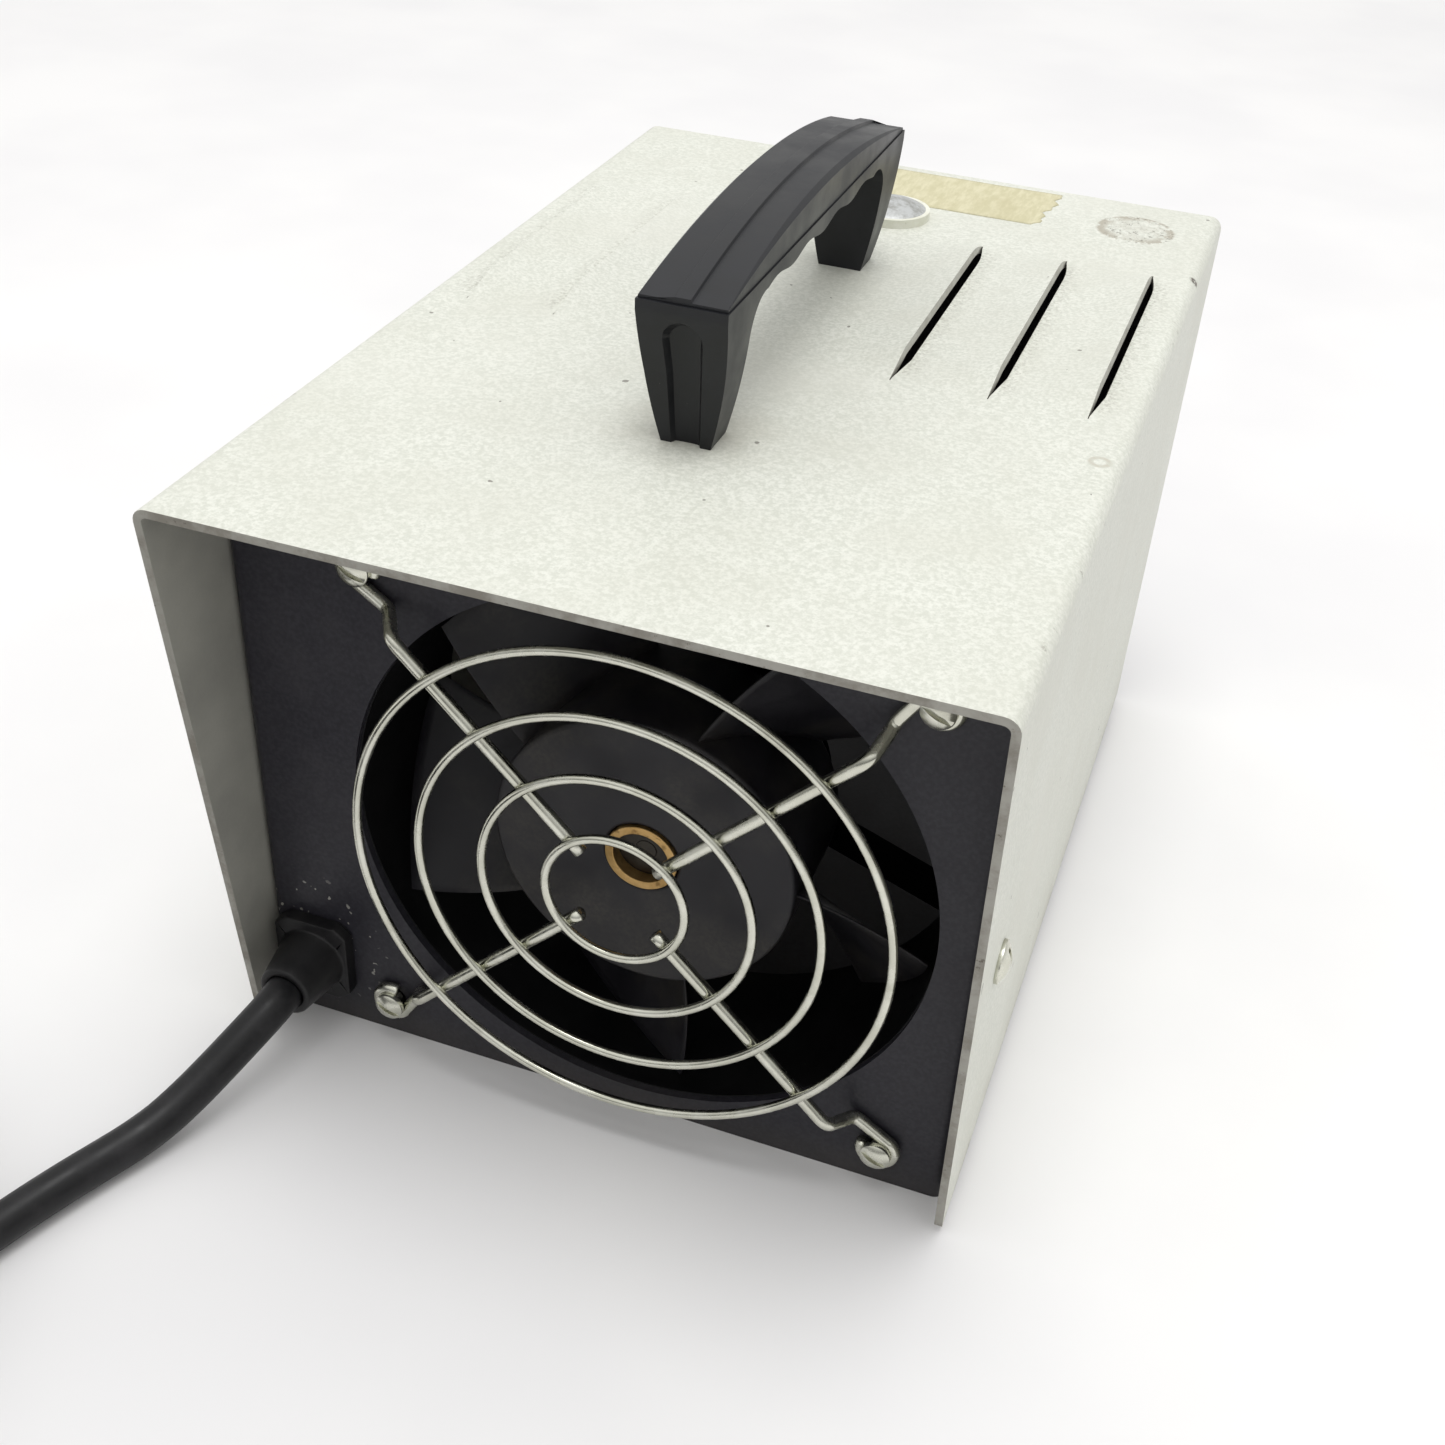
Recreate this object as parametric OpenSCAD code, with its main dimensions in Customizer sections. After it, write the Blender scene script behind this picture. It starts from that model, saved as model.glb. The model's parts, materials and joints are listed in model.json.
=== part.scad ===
// Portable ventilating fan in a sheet-metal cabinet with a carrying handle.
// X is across the cabinet, -Y is the front with the finger guard, Z is up.
// The origin is on the surface that it stands on, under the middle of the cover.

/* [Cabinet] */
// Width of the cover over its two walls
cover_w = 150; // [148:1:170]
// Depth of the cover's top, front edge to rear edge
cover_d = 228; // [228:1:250]
// Height of the cover's top above the standing surface
cover_top = 130; // [130:1:140]
// Height of the walls' lower edges above the standing surface
wall_gap = 2; // [1:0.5:4]
// How far the walls' lower front corners lie behind the top's front edge
front_rake = 14; // [8:1:16]
// How far the walls' lower rear corners lie before the top's rear edge
rear_rake = 18.5; // [10:0.5:20]
// Thickness of the sheet metal
sheet_t = 1.6; // [1.2:0.1:1.8]
// Outside radius of the cover's two long bends
bend_r = 3; // [2.5:0.25:4]

/* [Louvres] */
// Number of louvres on each side of the handle
louvre_count = 3; // [1:1:3]
// Distance of the first louvre's slot from the middle
louvre_first_x = 26.5; // [25:0.5:27]
// Spacing of the louvres
louvre_pitch = 19.5; // [16:0.5:19.5]
// Length of a louvre
louvre_len = 79; // [50:1:90]
// Height of a louvre's lip above the cover
louvre_rise = 2.6; // [2.2:0.2:4]

/* [Fan] */
// Side of the square fan frame
fan_size = 119; // [118:1:119]
// Spacing of the fan's four corner holes
fan_hole_pitch = 104.8; // [104:0.1:105.5]
// Depth of the fan
fan_depth = 38; // [38:1:40]
// Offset of the fan's axis from the middle of the cabinet
fan_x = 7; // [0:1:8]
// Height of the fan's axis
fan_z = 62.5; // [62:0.5:64]
// Number of impeller blades
blade_count = 5; // [3:1:7]

/* [Finger guard] */
// Radius of the outermost guard ring
guard_ring_r = 52; // [48:1:54]
// Spacing of the guard rings
guard_ring_pitch = 12.8; // [10:0.2:13]
// Diameter of the ring wire
ring_wire = 1.8; // [1.4:0.1:2]
// Diameter of the spoke wire
spoke_wire = 2.6; // [2:0.1:3]

/* [Handle] */
// Height of the handle above the cover
handle_h = 34.7; // [30:0.1:40]
// Width of the grip
handle_w = 17; // [14:1:20]
// Distance between the two handle screws
handle_pitch = 94; // [90:1:98]

/* [Power cord] */
// Diameter of the cord's jacket
cord_d = 8; // [7:0.5:8]
// Height of the cord's entry in the front panel
cord_z = 17; // [14:1:18]
// Distance of the cord's entry left of the middle
cord_x = 63; // [61:0.5:63.5]

/* [Hidden] */
$fn = 64;
eps = 0.05;

// Cabinet, derived
half_w = cover_w / 2;
half_d = cover_d / 2;
wall_in_x = half_w - sheet_t;
panel_half_w = wall_in_x - 0.2;
panel_top = cover_top - sheet_t - 0.6;
panel_bend_r = 2.4;
front_y = -half_d + front_rake + 8;
rear_y = half_d - rear_rake - 8;
flange_d = 16;
tray_half_w = panel_half_w - sheet_t;
tray_side_h = 14;

// Louvres, derived
louvre_y0 = -11;
louvre_ramp = 11;
louvre_run = 15;
louvre_gap = 1;
louvre_end = 1.2;

// Cover screws
cover_screw_y = front_y + 5.5;
cover_screw_z = 59.5;
cover_screw_r = 1.5;
cover_head_r = 4.2;
cover_head_h = 2.2;

// Fan, derived: distances along the axis are counted from the fan's front face
fan_front = front_y + sheet_t;
duct_r = 57.5;
duct_wall = 1.8;
flange_t = 4.5;
hub_r = 30;
hub_front = 1.8;
hub_rear = 30;
hub_wall = 2.4;
cup_r = hub_r - hub_wall;
blade_tip_r = 56.2;
blade_front = 3.4;
blade_rear = 28.5;
blade_sweep = 38;
blade_first = 71.6;
blade_lean = 8;
tube_r = 7.5;
mount_r = 26;
mount_t = 3.5;
arm_w = 6;
bearing_r = 5;
shaft_r = 2;
running_gap = 0.03;
ring_r = 7.2;
ring_in_r = 5.5;

// Finger guard, derived
guard_y = front_y - 9.6;
spoke_y = guard_y + (ring_wire + spoke_wire) / 2 - 0.2;
guard_foot_y = front_y - spoke_wire / 2;
screw_r = 1.75;
screw_head_r = 3.05;
screw_head_h = 2.1;
hook_r = screw_r + spoke_wire / 2 + 0.2;
diag = fan_hole_pitch / sqrt(2);

// Handle, derived
handle_y = -2.7;
leg_w = 9.6;
leg_d = 8.8;
leg_in = (handle_pitch - leg_d) / 2;
leg_out = (handle_pitch + leg_d) / 2;
leg_knee_y = leg_out + 2;
leg_knee_z = cover_top + 14;
arch_half = 56;
arch_rise = 6.2;
arch_r = (arch_half * arch_half + arch_rise * arch_rise) / (2 * arch_rise);
crown_z = cover_top + handle_h;
arch_cz = crown_z - arch_r;
rim_z = crown_z - 6.7;
gap_top = crown_z - 9.5;
gap_r = 7;
finger_pitch = 18.4;
finger_depth = 0.6;
flute_depth = 1.3;
strip_half_w = handle_w / 2 - 0.3;
strip_half_l = arch_half - 0.6;
band_half_w = 1.7;
band_h = 0.6;
handle_screw_r = 2;

// Top trim
bumper_x = 1.5;
bumper_y = 78;
bumper_r = 9;
bumper_pad_h = 2;
tape_x0 = -6;
tape_x1 = 37.5;
tape_y0 = 87.5;
tape_y1 = 111;
tape_t = 0.2;

// Rear panel fittings
slot_count = 10;
slot_pitch = 9;
slot_w = 3.4;
slot_h = 58;
slot_x0 = -22;
slot_z = 51;
switch_x = -50;
switch_z = 60;
rocker_tilt = 9;
fuse_x = -50;
fuse_z = 26;
fuse_r = 6.2;

// Power entry
relief_out = 14;
relief_in = 9;
terminal_x = -50;
terminal_y = -26;
ground_x = -42;
ground_y = 18;
lead_r = 1.3;

// Route of the cord from the strain relief to the coil, hand-laid
cord_route = [
    [-cord_x, front_y - relief_out, cord_z], [-cord_x, front_y - relief_out - 2, cord_z],
    [-63.8, -112, 15.9], [-66, -118, 13.2], [-68.5, -124, 10.2], [-71, -130, 7.5], [-73.5, -136, 5.5],
    [-76.2, -142, 4.5], [-79, -148, 4.2], [-81.6, -154, 4.2], [-84, -160, 4.2], [-86.2, -166, 4.2],
    [-88.2, -172, 4.3], [-89.9, -178, 4.5], [-91.2, -184, 4.8], [-92.1, -190, 4.8]
];
coil_x = -140;
coil_y = -200;
coil_mid_r = 44;
coil_z0 = 0.8;
coil_columns = 2;
coil_layers = 3;
tie_angle = 195;
tie_t = 0.7;
tie_w = 10;
plug_half_h = 11;
plug_tail_len = 16;
plug_len = 30;
coil_top = coil_z0 + coil_layers * cord_d;
plug_start = [coil_x + 15, coil_y - 33, coil_top + plug_half_h];

// The cord's end climbs out of the coil's top layer and bends over it into the plug
tail_bend_r = 33;
tail_bend_x = coil_x + 17;
tail_lie_z = coil_top + cord_d / 2;
tail_climb = [
    [160, 40, tail_lie_z - 7.8], [148, 40, tail_lie_z - 5.9], [136, 40, tail_lie_z - 2.4],
    [124, 40, tail_lie_z - 0.2], [110, 40, tail_lie_z], [92, 40.6, tail_lie_z], [74, 42, tail_lie_z],
    [56, 44, tail_lie_z], [38, 46.3, tail_lie_z], [19, 48.7, tail_lie_z]
];
tail_route = concat(
    [for (p = tail_climb) [coil_x + p[1] * cos(p[0]), coil_y + p[1] * sin(p[0]), p[2]]],
    [
        for (a = [0 : -15 : -90]) [
            tail_bend_x + tail_bend_r * cos(a), coil_y + tail_bend_r * sin(a),
            tail_lie_z + (plug_half_h - cord_d / 2) * (1 - cos(2 * a)) / 2
        ]
    ],
    [plug_start]
);

// Routes of the leads inside the cabinet, hand-laid
inner_route = [
    [-cord_x, front_y - relief_out, cord_z], [-cord_x, -92, cord_z], [-cord_x, -76, cord_z],
    [-62.5, -66, 15.5], [-61, -56, 14], [-58, -48, 12.5], [-54, -42, 11.5], [terminal_x, -36.5, 11]
];
fan_lead_a = [
    [-47, -16, 9], [-47, -8, 11], [-49, -2, 16], [-53, -8, 22], [-55, -22, 24], [-54, -36, 24], [-51, -46, 24]
];
fan_lead_b = [
    [-44, -16, 9], [-43, -8, 12], [-45, 4, 24], [-50, 0, 34], [-54, -16, 36], [-54, -34, 35], [-51, -46, 34]
];
switch_lead_a = [
    [-53, -16, 9], [-54, -4, 8], [-57, 10, 7], [-60, 30, 8], [-60, 50, 16], [-56, 60, 34], [-53, 67, 50],
    [-53, 72.5, 54]
];
switch_lead_b = [
    [fuse_x, 52, fuse_z], [-49, 44, 30], [-44, 42, 42], [-42, 52, 56], [-46, 63, 64], [-49, 72.5, 66]
];
ground_lead_route = [[-50, -16, 9], [-49.5, -8, 8], [-47, 2, 6.5], [-43.5, 10, 5], [-42, 15.9, 4.3]];

// ---------- helpers ----------

module along_x(length) {
    rotate([90, 0, 90]) linear_extrude(length, center = true) children();
}

module along_y(length) {
    rotate([90, 0, 0]) linear_extrude(length, center = true) children();
}

// Puts children on the fan's axis: their +Z runs backward from the fan's front face.
module on_fan(t = 0) {
    translate([fan_x, fan_front + t, fan_z]) rotate([-90, 0, 0]) children();
}

module at_fan_corners(y) {
    for (sx = [-1, 1], sz = [-1, 1])
        translate([fan_x + sx * fan_hole_pitch / 2, y, fan_z + sz * fan_hole_pitch / 2])
            rotate([-90, 0, 0]) children();
}

module ring(r_out, r_in, h) {
    difference() {
        cylinder(r = r_out, h = h);
        translate([0, 0, -eps]) cylinder(r = r_in, h = h + 2 * eps);
    }
}

function unit(v) = v / norm(v);

function route_dir(p, i) = unit(p[min(i + 1, len(p) - 1)] - p[max(i - 1, 0)]);

function ring_points(c, d, r, n, ref) =
    let (s = unit(cross(d, ref)), u = cross(s, d))
    [for (k = [0 : n - 1]) c + r * (cos(360 * k / n) * s + sin(360 * k / n) * u)];

// A round tube swept along a route; ref is a direction that the route never takes.
module swept_tube(route, r, n = 10, ref = [0, 0, 1]) {
    m = len(route);
    points = [for (i = [0 : m - 1]) each ring_points(route[i], route_dir(route, i), r, n, ref)];
    walls = [
        for (i = [0 : m - 2], k = [0 : n - 1])
            let (a = i * n + k, b = i * n + (k + 1) % n)
            each [[a, b, b + n], [a, b + n, a + n]]
    ];
    first = [[for (k = [n - 1 : -1 : 0]) k]];
    last = [[for (k = [0 : n - 1]) (m - 1) * n + k]];
    polyhedron(points, concat(walls, first, last));
}

// A slotted pan-head screw that points along -Z below its head's seat.
module pan_screw(r, length, head_r, head_h) {
    difference() {
        union() {
            translate([0, 0, -length]) cylinder(r = r, h = length + 0.4);
            intersection() {
                cylinder(r = head_r, h = head_h);
                translate([0, 0, head_h - 1.6 * head_r]) sphere(r = 1.6 * head_r);
            }
        }
        translate([-head_r - 1, -0.5, head_h - 0.9]) cube([2 * head_r + 2, 1, 2]);
    }
}

module hex_nut(across, bore_r, h) {
    difference() {
        cylinder(r = across / 2 / cos(30), h = h, $fn = 6);
        translate([0, 0, -1]) cylinder(r = bore_r, h = h + 2);
    }
}

// ---------- cabinet ----------

module cover_section(inset, floor_z) {
    w = half_w - inset;
    r = bend_r - inset;
    top = cover_top - inset;
    translate([-w, floor_z]) square([2 * w, top - r - floor_z]);
    translate([-w + r, floor_z]) square([2 * (w - r), top - floor_z]);
    for (s = [-1, 1]) translate([s * (w - r), top - r]) circle(r = r);
}

module wall_outline() {
    polygon([
        [-half_d, cover_top + 2], [-half_d, cover_top], [-half_d + front_rake, wall_gap],
        [half_d - rear_rake, wall_gap], [half_d, cover_top], [half_d, cover_top + 2]
    ]);
}

// A wedge with its open edge on x = 0, which falls away toward -X and at both ends.
module louvre_wedge(x, inset, base, rise) {
    a = inset;
    b = louvre_len - inset;
    run = louvre_run - inset;
    polyhedron(
        [
            [x, a, base], [x, b, base], [-run, b - louvre_ramp, base], [-run, a + louvre_ramp, base],
            [x, a + louvre_ramp, rise], [x, b - louvre_ramp, rise]
        ],
        [[0, 1, 2, 3], [0, 4, 5, 1], [3, 2, 5, 4], [0, 3, 4], [1, 5, 2]]
    );
}

module at_louvres() {
    for (side = [0, 1], i = [0 : louvre_count - 1])
        mirror([side, 0, 0])
            translate([louvre_first_x + i * louvre_pitch, louvre_y0, cover_top]) children();
}

module cover() {
    color("gainsboro") difference() {
        union() {
            intersection() {
                along_y(cover_d + 4) difference() {
                    cover_section(0, 0);
                    cover_section(sheet_t, -1);
                }
                along_x(cover_w + 4) wall_outline();
            }
            at_louvres() louvre_wedge(0, 0, -sheet_t / 2, louvre_rise);
        }
        at_louvres() {
            louvre_wedge(eps, louvre_end, -sheet_t - 0.5, louvre_rise - sheet_t);
            translate([0, louvre_end, -sheet_t - 0.5])
                cube([louvre_gap, louvre_len - 2 * louvre_end, sheet_t + 0.5 + eps]);
        }
        for (s = [-1, 1]) {
            translate([0, handle_y + s * handle_pitch / 2, cover_top - 10])
                cylinder(r = handle_screw_r + 0.3, h = 20);
            translate([s * half_w, cover_screw_y, cover_screw_z]) rotate([0, 90, 0])
                cylinder(r = cover_screw_r + 0.3, h = 20, center = true);
        }
    }
}

module cover_screws() {
    color("silver") for (s = [0, 1]) mirror([s, 0, 0])
        translate([half_w, cover_screw_y, cover_screw_z]) rotate([0, 90, 0])
            pan_screw(cover_screw_r, 8, cover_head_r, cover_head_h);
}

module cover_nuts() {
    color("silver") for (s = [0, 1]) mirror([s, 0, 0])
        translate([tray_half_w - 2.6, cover_screw_y, cover_screw_z]) rotate([0, 90, 0])
            hex_nut(5.5, cover_screw_r, 2.6);
}

// A panel folded back at both sides, as seen from above, with its face on y = 0.
module panel_plan(inset) {
    w = panel_half_w - inset;
    r = panel_bend_r - inset;
    back = flange_d + (inset > 0 ? 1 : 0);
    translate([-w, inset + r]) square([2 * w, back - inset - r]);
    translate([-w + r, inset]) square([2 * (w - r), back - inset]);
    for (s = [-1, 1]) translate([s * (w - r), inset + r]) circle(r = r);
}

module folded_panel() {
    linear_extrude(panel_top) difference() {
        panel_plan(0);
        panel_plan(sheet_t);
    }
}

module front_panel() {
    color("dimgray") difference() {
        translate([0, front_y, 0]) folded_panel();
        on_fan(-10) cylinder(r = duct_r + 0.2, h = 20, $fn = 96);
        at_fan_corners(front_y - 5) cylinder(r = screw_r + 0.3, h = 10);
        translate([-cord_x, front_y, cord_z]) rotate([-90, 0, 0]) cylinder(r = 7.5, h = 10, center = true);
        translate([0, cover_screw_y, cover_screw_z]) rotate([0, 90, 0])
            cylinder(r = cover_screw_r + 0.1, h = cover_w, center = true);
    }
}

module rear_slot() {
    along_y(10) {
        square([slot_w, slot_h - slot_w], center = true);
        for (s = [-1, 1]) translate([0, s * (slot_h - slot_w) / 2]) circle(d = slot_w);
    }
}

module rear_panel() {
    color("dimgray") difference() {
        translate([0, rear_y, 0]) mirror([0, 1, 0]) folded_panel();
        for (i = [0 : slot_count - 1]) translate([slot_x0 + i * slot_pitch, rear_y, slot_z]) rear_slot();
        translate([switch_x, rear_y, switch_z]) cube([13.4, 10, 19.8], center = true);
        translate([fuse_x, rear_y, fuse_z]) rotate([90, 0, 0])
            cylinder(r = fuse_r + 0.1, h = 10, center = true);
    }
}

module base_tray() {
    color("dimgray") difference() {
        translate([-tray_half_w, fan_front, 0])
            cube([2 * tray_half_w, rear_y - sheet_t - fan_front, tray_side_h]);
        translate([-tray_half_w + sheet_t, fan_front - 1, sheet_t])
            cube([2 * (tray_half_w - sheet_t), rear_y - fan_front + 2, tray_side_h]);
        translate([ground_x, ground_y, -1]) cylinder(r = 2.1, h = 5);
    }
}

// ---------- handle ----------

// Height of the strip's arched top above a place along the handle.
function arch_z(y) = arch_cz + sqrt(arch_r * arch_r - y * y);

// The opening for the hand, with a shallow wave for each finger along its top.
module finger_gap() {
    polygon(concat(
        [[-leg_in - 0.8, cover_top - 1], [-leg_in, gap_top - gap_r]],
        [for (y = [-35 : 1 : 35]) [y, gap_top - finger_depth * cos(360 * (y + 2) / finger_pitch)]],
        [[leg_in, gap_top - gap_r], [leg_in + 0.8, cover_top - 1]]
    ));
    for (s = [-1, 1]) translate([s * (leg_in - gap_r), gap_top - gap_r]) circle(r = gap_r);
}

module handle_side() {
    difference() {
        polygon([
            [-leg_out, cover_top], [-leg_knee_y, leg_knee_z], [-arch_half, rim_z - 2], [-arch_half, rim_z],
            [arch_half, rim_z], [arch_half, rim_z - 2], [leg_knee_y, leg_knee_z], [leg_out, cover_top]
        ]);
        finger_gap();
    }
}

// Half the width of a leg, from its top (u = 0) to its foot (u = 1).
function leg_half_w(u) = (handle_w - (handle_w - leg_w) * u * u) / 2;

module handle_front_shape() {
    drop = rim_z - cover_top;
    polygon(concat(
        [for (u = [0 : 0.05 : 1.001]) [leg_half_w(u), rim_z - u * drop]],
        [for (u = [1 : -0.05 : -0.001]) [-leg_half_w(u), rim_z - u * drop]]
    ));
}

module flute_end(face_y, z, r) {
    translate([0, -face_y + flute_depth, z]) rotate([90, 0, 0]) cylinder(r1 = r - 0.7, r2 = r + 1.2, h = 3.5);
}

// The sunk channel up the outer face of a leg.
module leg_flute() {
    hull() {
        flute_end(leg_out, cover_top - 3, 2.9);
        flute_end(leg_knee_y, leg_knee_z, 3.3);
    }
    hull() {
        flute_end(leg_knee_y, leg_knee_z, 3.3);
        flute_end(leg_knee_y + 1.4, rim_z - 7.4, 3.7);
    }
}

module handle_body() {
    color([0.09, 0.09, 0.1]) translate([0, handle_y, 0]) difference() {
        intersection() {
            along_x(handle_w + 2) handle_side();
            along_y(2 * arch_half + 4) handle_front_shape();
        }
        for (s = [-1, 1])
            translate([0, s * handle_pitch / 2, cover_top - 1]) cylinder(r = handle_screw_r, h = 16);
        for (s = [0, 1]) mirror([0, s, 0]) leg_flute();
    }
}

// The strip's outline across the handle: side, bevel, flat top and raised middle band.
function strip_section(y) =
    let (t = arch_z(y) - rim_z, bevel = 0.14 * t, w = strip_half_w, b = band_half_w)
    [
        [-w, y, rim_z], [-w, y, rim_z + t - bevel], [-w + bevel, y, rim_z + t], [-b, y, rim_z + t],
        [-b + 0.25, y, rim_z + t + band_h], [b - 0.25, y, rim_z + t + band_h], [b, y, rim_z + t],
        [w - bevel, y, rim_z + t], [w, y, rim_z + t - bevel], [w, y, rim_z]
    ];

module handle_strip() {
    steps = 40;
    n = 10;
    color([0.13, 0.13, 0.14]) translate([0, handle_y, 0]) polyhedron(
        [for (i = [0 : steps]) each strip_section((2 * i / steps - 1) * strip_half_l)],
        concat(
            [[for (k = [0 : n - 1]) k]],
            [[for (k = [n - 1 : -1 : 0]) steps * n + k]],
            [for (i = [0 : steps - 1], k = [0 : n - 1])
                [i * n + k, (i + 1) * n + k, (i + 1) * n + (k + 1) % n]],
            [for (i = [0 : steps - 1], k = [0 : n - 1])
                [i * n + k, (i + 1) * n + (k + 1) % n, i * n + (k + 1) % n]]
        )
    );
}

module handle_screws() {
    color("silver") for (s = [-1, 1])
        translate([0, handle_y + s * handle_pitch / 2, cover_top - sheet_t - 0.8]) mirror([0, 0, 1])
            pan_screw(handle_screw_r, 14, 3.8, 2.4);
}

module handle_washers() {
    color("silver") for (s = [-1, 1])
        translate([0, handle_y + s * handle_pitch / 2, cover_top - sheet_t - 0.8])
            ring(4.6, handle_screw_r + 0.15, 0.8);
}

// ---------- trim on top ----------

module bumper_pad() {
    color("white") translate([bumper_x, bumper_y, cover_top]) cylinder(r = bumper_r, h = bumper_pad_h);
}

module bumper_dome() {
    dome_r = bumper_r - 1;
    dome_h = 2.2;
    ball_r = (dome_r * dome_r + dome_h * dome_h) / (2 * dome_h);
    color("lightgray") translate([bumper_x, bumper_y, cover_top + bumper_pad_h]) intersection() {
        cylinder(r = dome_r, h = dome_h);
        translate([0, 0, dome_h - ball_r]) sphere(r = ball_r, $fn = 180);
    }
}

module tape_strip() {
    color("lightgoldenrodyellow") translate([tape_x0, tape_y0, cover_top])
        cube([tape_x1 - tape_x0, tape_y1 - tape_y0, tape_t]);
}

// ---------- fan ----------

module fan_flange() {
    intersection() {
        translate([-fan_size / 2, -fan_size / 2, 0]) cube([fan_size, fan_size, flange_t]);
        cylinder(r = diag + 7.5, h = flange_t);
    }
}

module fan_frame() {
    color([0.08, 0.08, 0.09]) on_fan() difference() {
        union() {
            fan_flange();
            translate([0, 0, fan_depth - flange_t]) fan_flange();
            cylinder(r = duct_r + duct_wall, h = fan_depth, $fn = 96);
        }
        translate([0, 0, -1]) cylinder(r = duct_r, h = fan_depth + 2, $fn = 96);
        for (a = [45 : 90 : 315]) rotate(a) translate([diag, 0, -1]) cylinder(r = 2.2, h = fan_depth + 2);
    }
}

// A plate on four arms behind the impeller, with the tube that holds the bearings.
module motor_mount() {
    color([0.08, 0.08, 0.09]) on_fan() difference() {
        union() {
            translate([0, 0, fan_depth - mount_t]) cylinder(r = mount_r, h = mount_t);
            translate([0, 0, 8.5]) cylinder(r = tube_r, h = fan_depth - 9);
            intersection() {
                for (a = [20 : 90 : 290]) rotate(a)
                    translate([mount_r - 2, -arm_w / 2, fan_depth - mount_t]) cube([duct_r, arm_w, mount_t]);
                cylinder(r = duct_r, h = fan_depth, $fn = 96);
            }
        }
        translate([0, 0, 8]) cylinder(r = bearing_r, h = fan_depth);
    }
}

module stator_core() {
    color("slategray") on_fan(13) difference() {
        ring(20.2, tube_r, 14);
        for (a = [0 : 45 : 315]) rotate(a) translate([15.5, 0, -1]) cylinder(r = 2.6, h = 16, $fn = 8);
    }
}

module stator_windings() {
    color("peru") {
        on_fan(8.4) ring(18.4, 9, 4.6);
        on_fan(27) ring(18.4, 9, 5.4);
    }
}

module shaft_bearings() {
    color("goldenrod") for (t = [10, 28.5]) on_fan(t) ring(bearing_r, shaft_r + running_gap, 5.5);
}

module fan_terminals() {
    color("silver") for (z = [24, 34])
        translate([fan_x - fan_size / 2 - 4, fan_front + fan_depth, z - 0.4]) cube([11, 6.4, 0.8]);
}

// ---------- finger guard ----------

module guard_rings() {
    color("silver") translate([fan_x, guard_y, fan_z]) rotate([-90, 0, 0])
        for (i = [0 : 3]) rotate_extrude($fn = 96)
            translate([guard_ring_r - i * guard_ring_pitch, 0]) circle(d = ring_wire, $fn = 24);
}

// One spoke, as points in a plane through the axis: out along the rings, back to the
// panel, then round the screw in an open hook.
function spoke_point(a, u, v, y) = [
    fan_x + u * cos(a) - v * sin(a), y, fan_z + u * sin(a) + v * cos(a)
];

function spoke_route(a) = concat(
    [
        spoke_point(a, 10.4, 0, spoke_y), spoke_point(a, 30, 0, spoke_y), spoke_point(a, 50, 0, spoke_y),
        spoke_point(a, 59.5, 0, spoke_y), spoke_point(a, 61.2, 0.1, spoke_y + 0.5),
        spoke_point(a, 62.3, 0.3, spoke_y + 1.8), spoke_point(a, 64.2, 0.8, guard_foot_y - 1.9),
        spoke_point(a, 65.2, 1.2, guard_foot_y - 0.6), spoke_point(a, 66.8, 1.7, guard_foot_y)
    ],
    [for (b = [115 : -22.5 : -155]) spoke_point(a, diag + hook_r * cos(b), hook_r * sin(b), guard_foot_y)]
);

module guard_spokes() {
    color("silver") for (a = [45 : 90 : 315]) swept_tube(spoke_route(a), spoke_wire / 2, 12, [0, 1, 0]);
}

module guard_screws() {
    color("silver") at_fan_corners(front_y - spoke_wire) rotate([180, 0, 25])
        pan_screw(screw_r, 14, screw_head_r, screw_head_h);
}

module guard_nuts() {
    color("silver") at_fan_corners(fan_front + flange_t) hex_nut(6, screw_r, 2.8);
}

// ---------- rotor ----------

module impeller_hub() {
    color([0.1, 0.1, 0.11]) on_fan(hub_front) difference() {
        cylinder(r = hub_r, h = hub_rear - hub_front, $fn = 96);
        translate([0, 0, hub_wall]) cylinder(r = cup_r, h = hub_rear);
        translate([0, 0, -1]) cylinder(r = ring_r, h = 10);
    }
}

// Point s of the chord and point q of the span of one blade, on its face (1) or back (-1).
function blade_point(s, q, face) =
    let (
        r = hub_r - 0.15 + q * (blade_tip_r - hub_r + 0.15),
        angle = -(blade_first - blade_lean * q - blade_sweep * s),
        t = blade_front + (blade_rear - blade_front) * (s + 0.22 * s * (1 - s)),
        thick = 0.5 + 1.3 * s * (1 - s) * 2,
        slope = 57.3 * thick / 2 / r
    )
    [r * cos(angle - face * slope * 0.6), r * sin(angle - face * slope * 0.6), t + face * thick * 0.4];

module blade() {
    ns = 8;
    nq = 5;
    count = (ns + 1) * (nq + 1);
    points = [
        for (face = [1, -1], i = [0 : ns], j = [0 : nq]) blade_point(i / ns, j / nq, face)
    ];
    skin = [
        for (i = [0 : ns - 1], j = [0 : nq - 1])
            let (a = i * (nq + 1) + j, b = a + 1, c = a + nq + 2, d = a + nq + 1)
            each [[a, b, c], [a, c, d], [a + count, c + count, b + count], [a + count, d + count, c + count]]
    ];
    edges = concat(
        [for (j = [0 : nq - 1]) each [[j, j + count, j + 1 + count], [j, j + 1 + count, j + 1]]],
        [
            for (j = [0 : nq - 1])
                let (a = ns * (nq + 1) + j)
                each [[a, a + 1, a + 1 + count], [a, a + 1 + count, a + count]]
        ],
        [
            for (i = [0 : ns - 1])
                let (a = i * (nq + 1), d = a + nq + 1)
                each [[a, d, d + count], [a, d + count, a + count]]
        ],
        [
            for (i = [0 : ns - 1])
                let (a = i * (nq + 1) + nq, d = a + nq + 1)
                each [[a, a + count, d + count], [a, d + count, d]]
        ]
    );
    polyhedron(points, concat(skin, edges));
}

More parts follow.
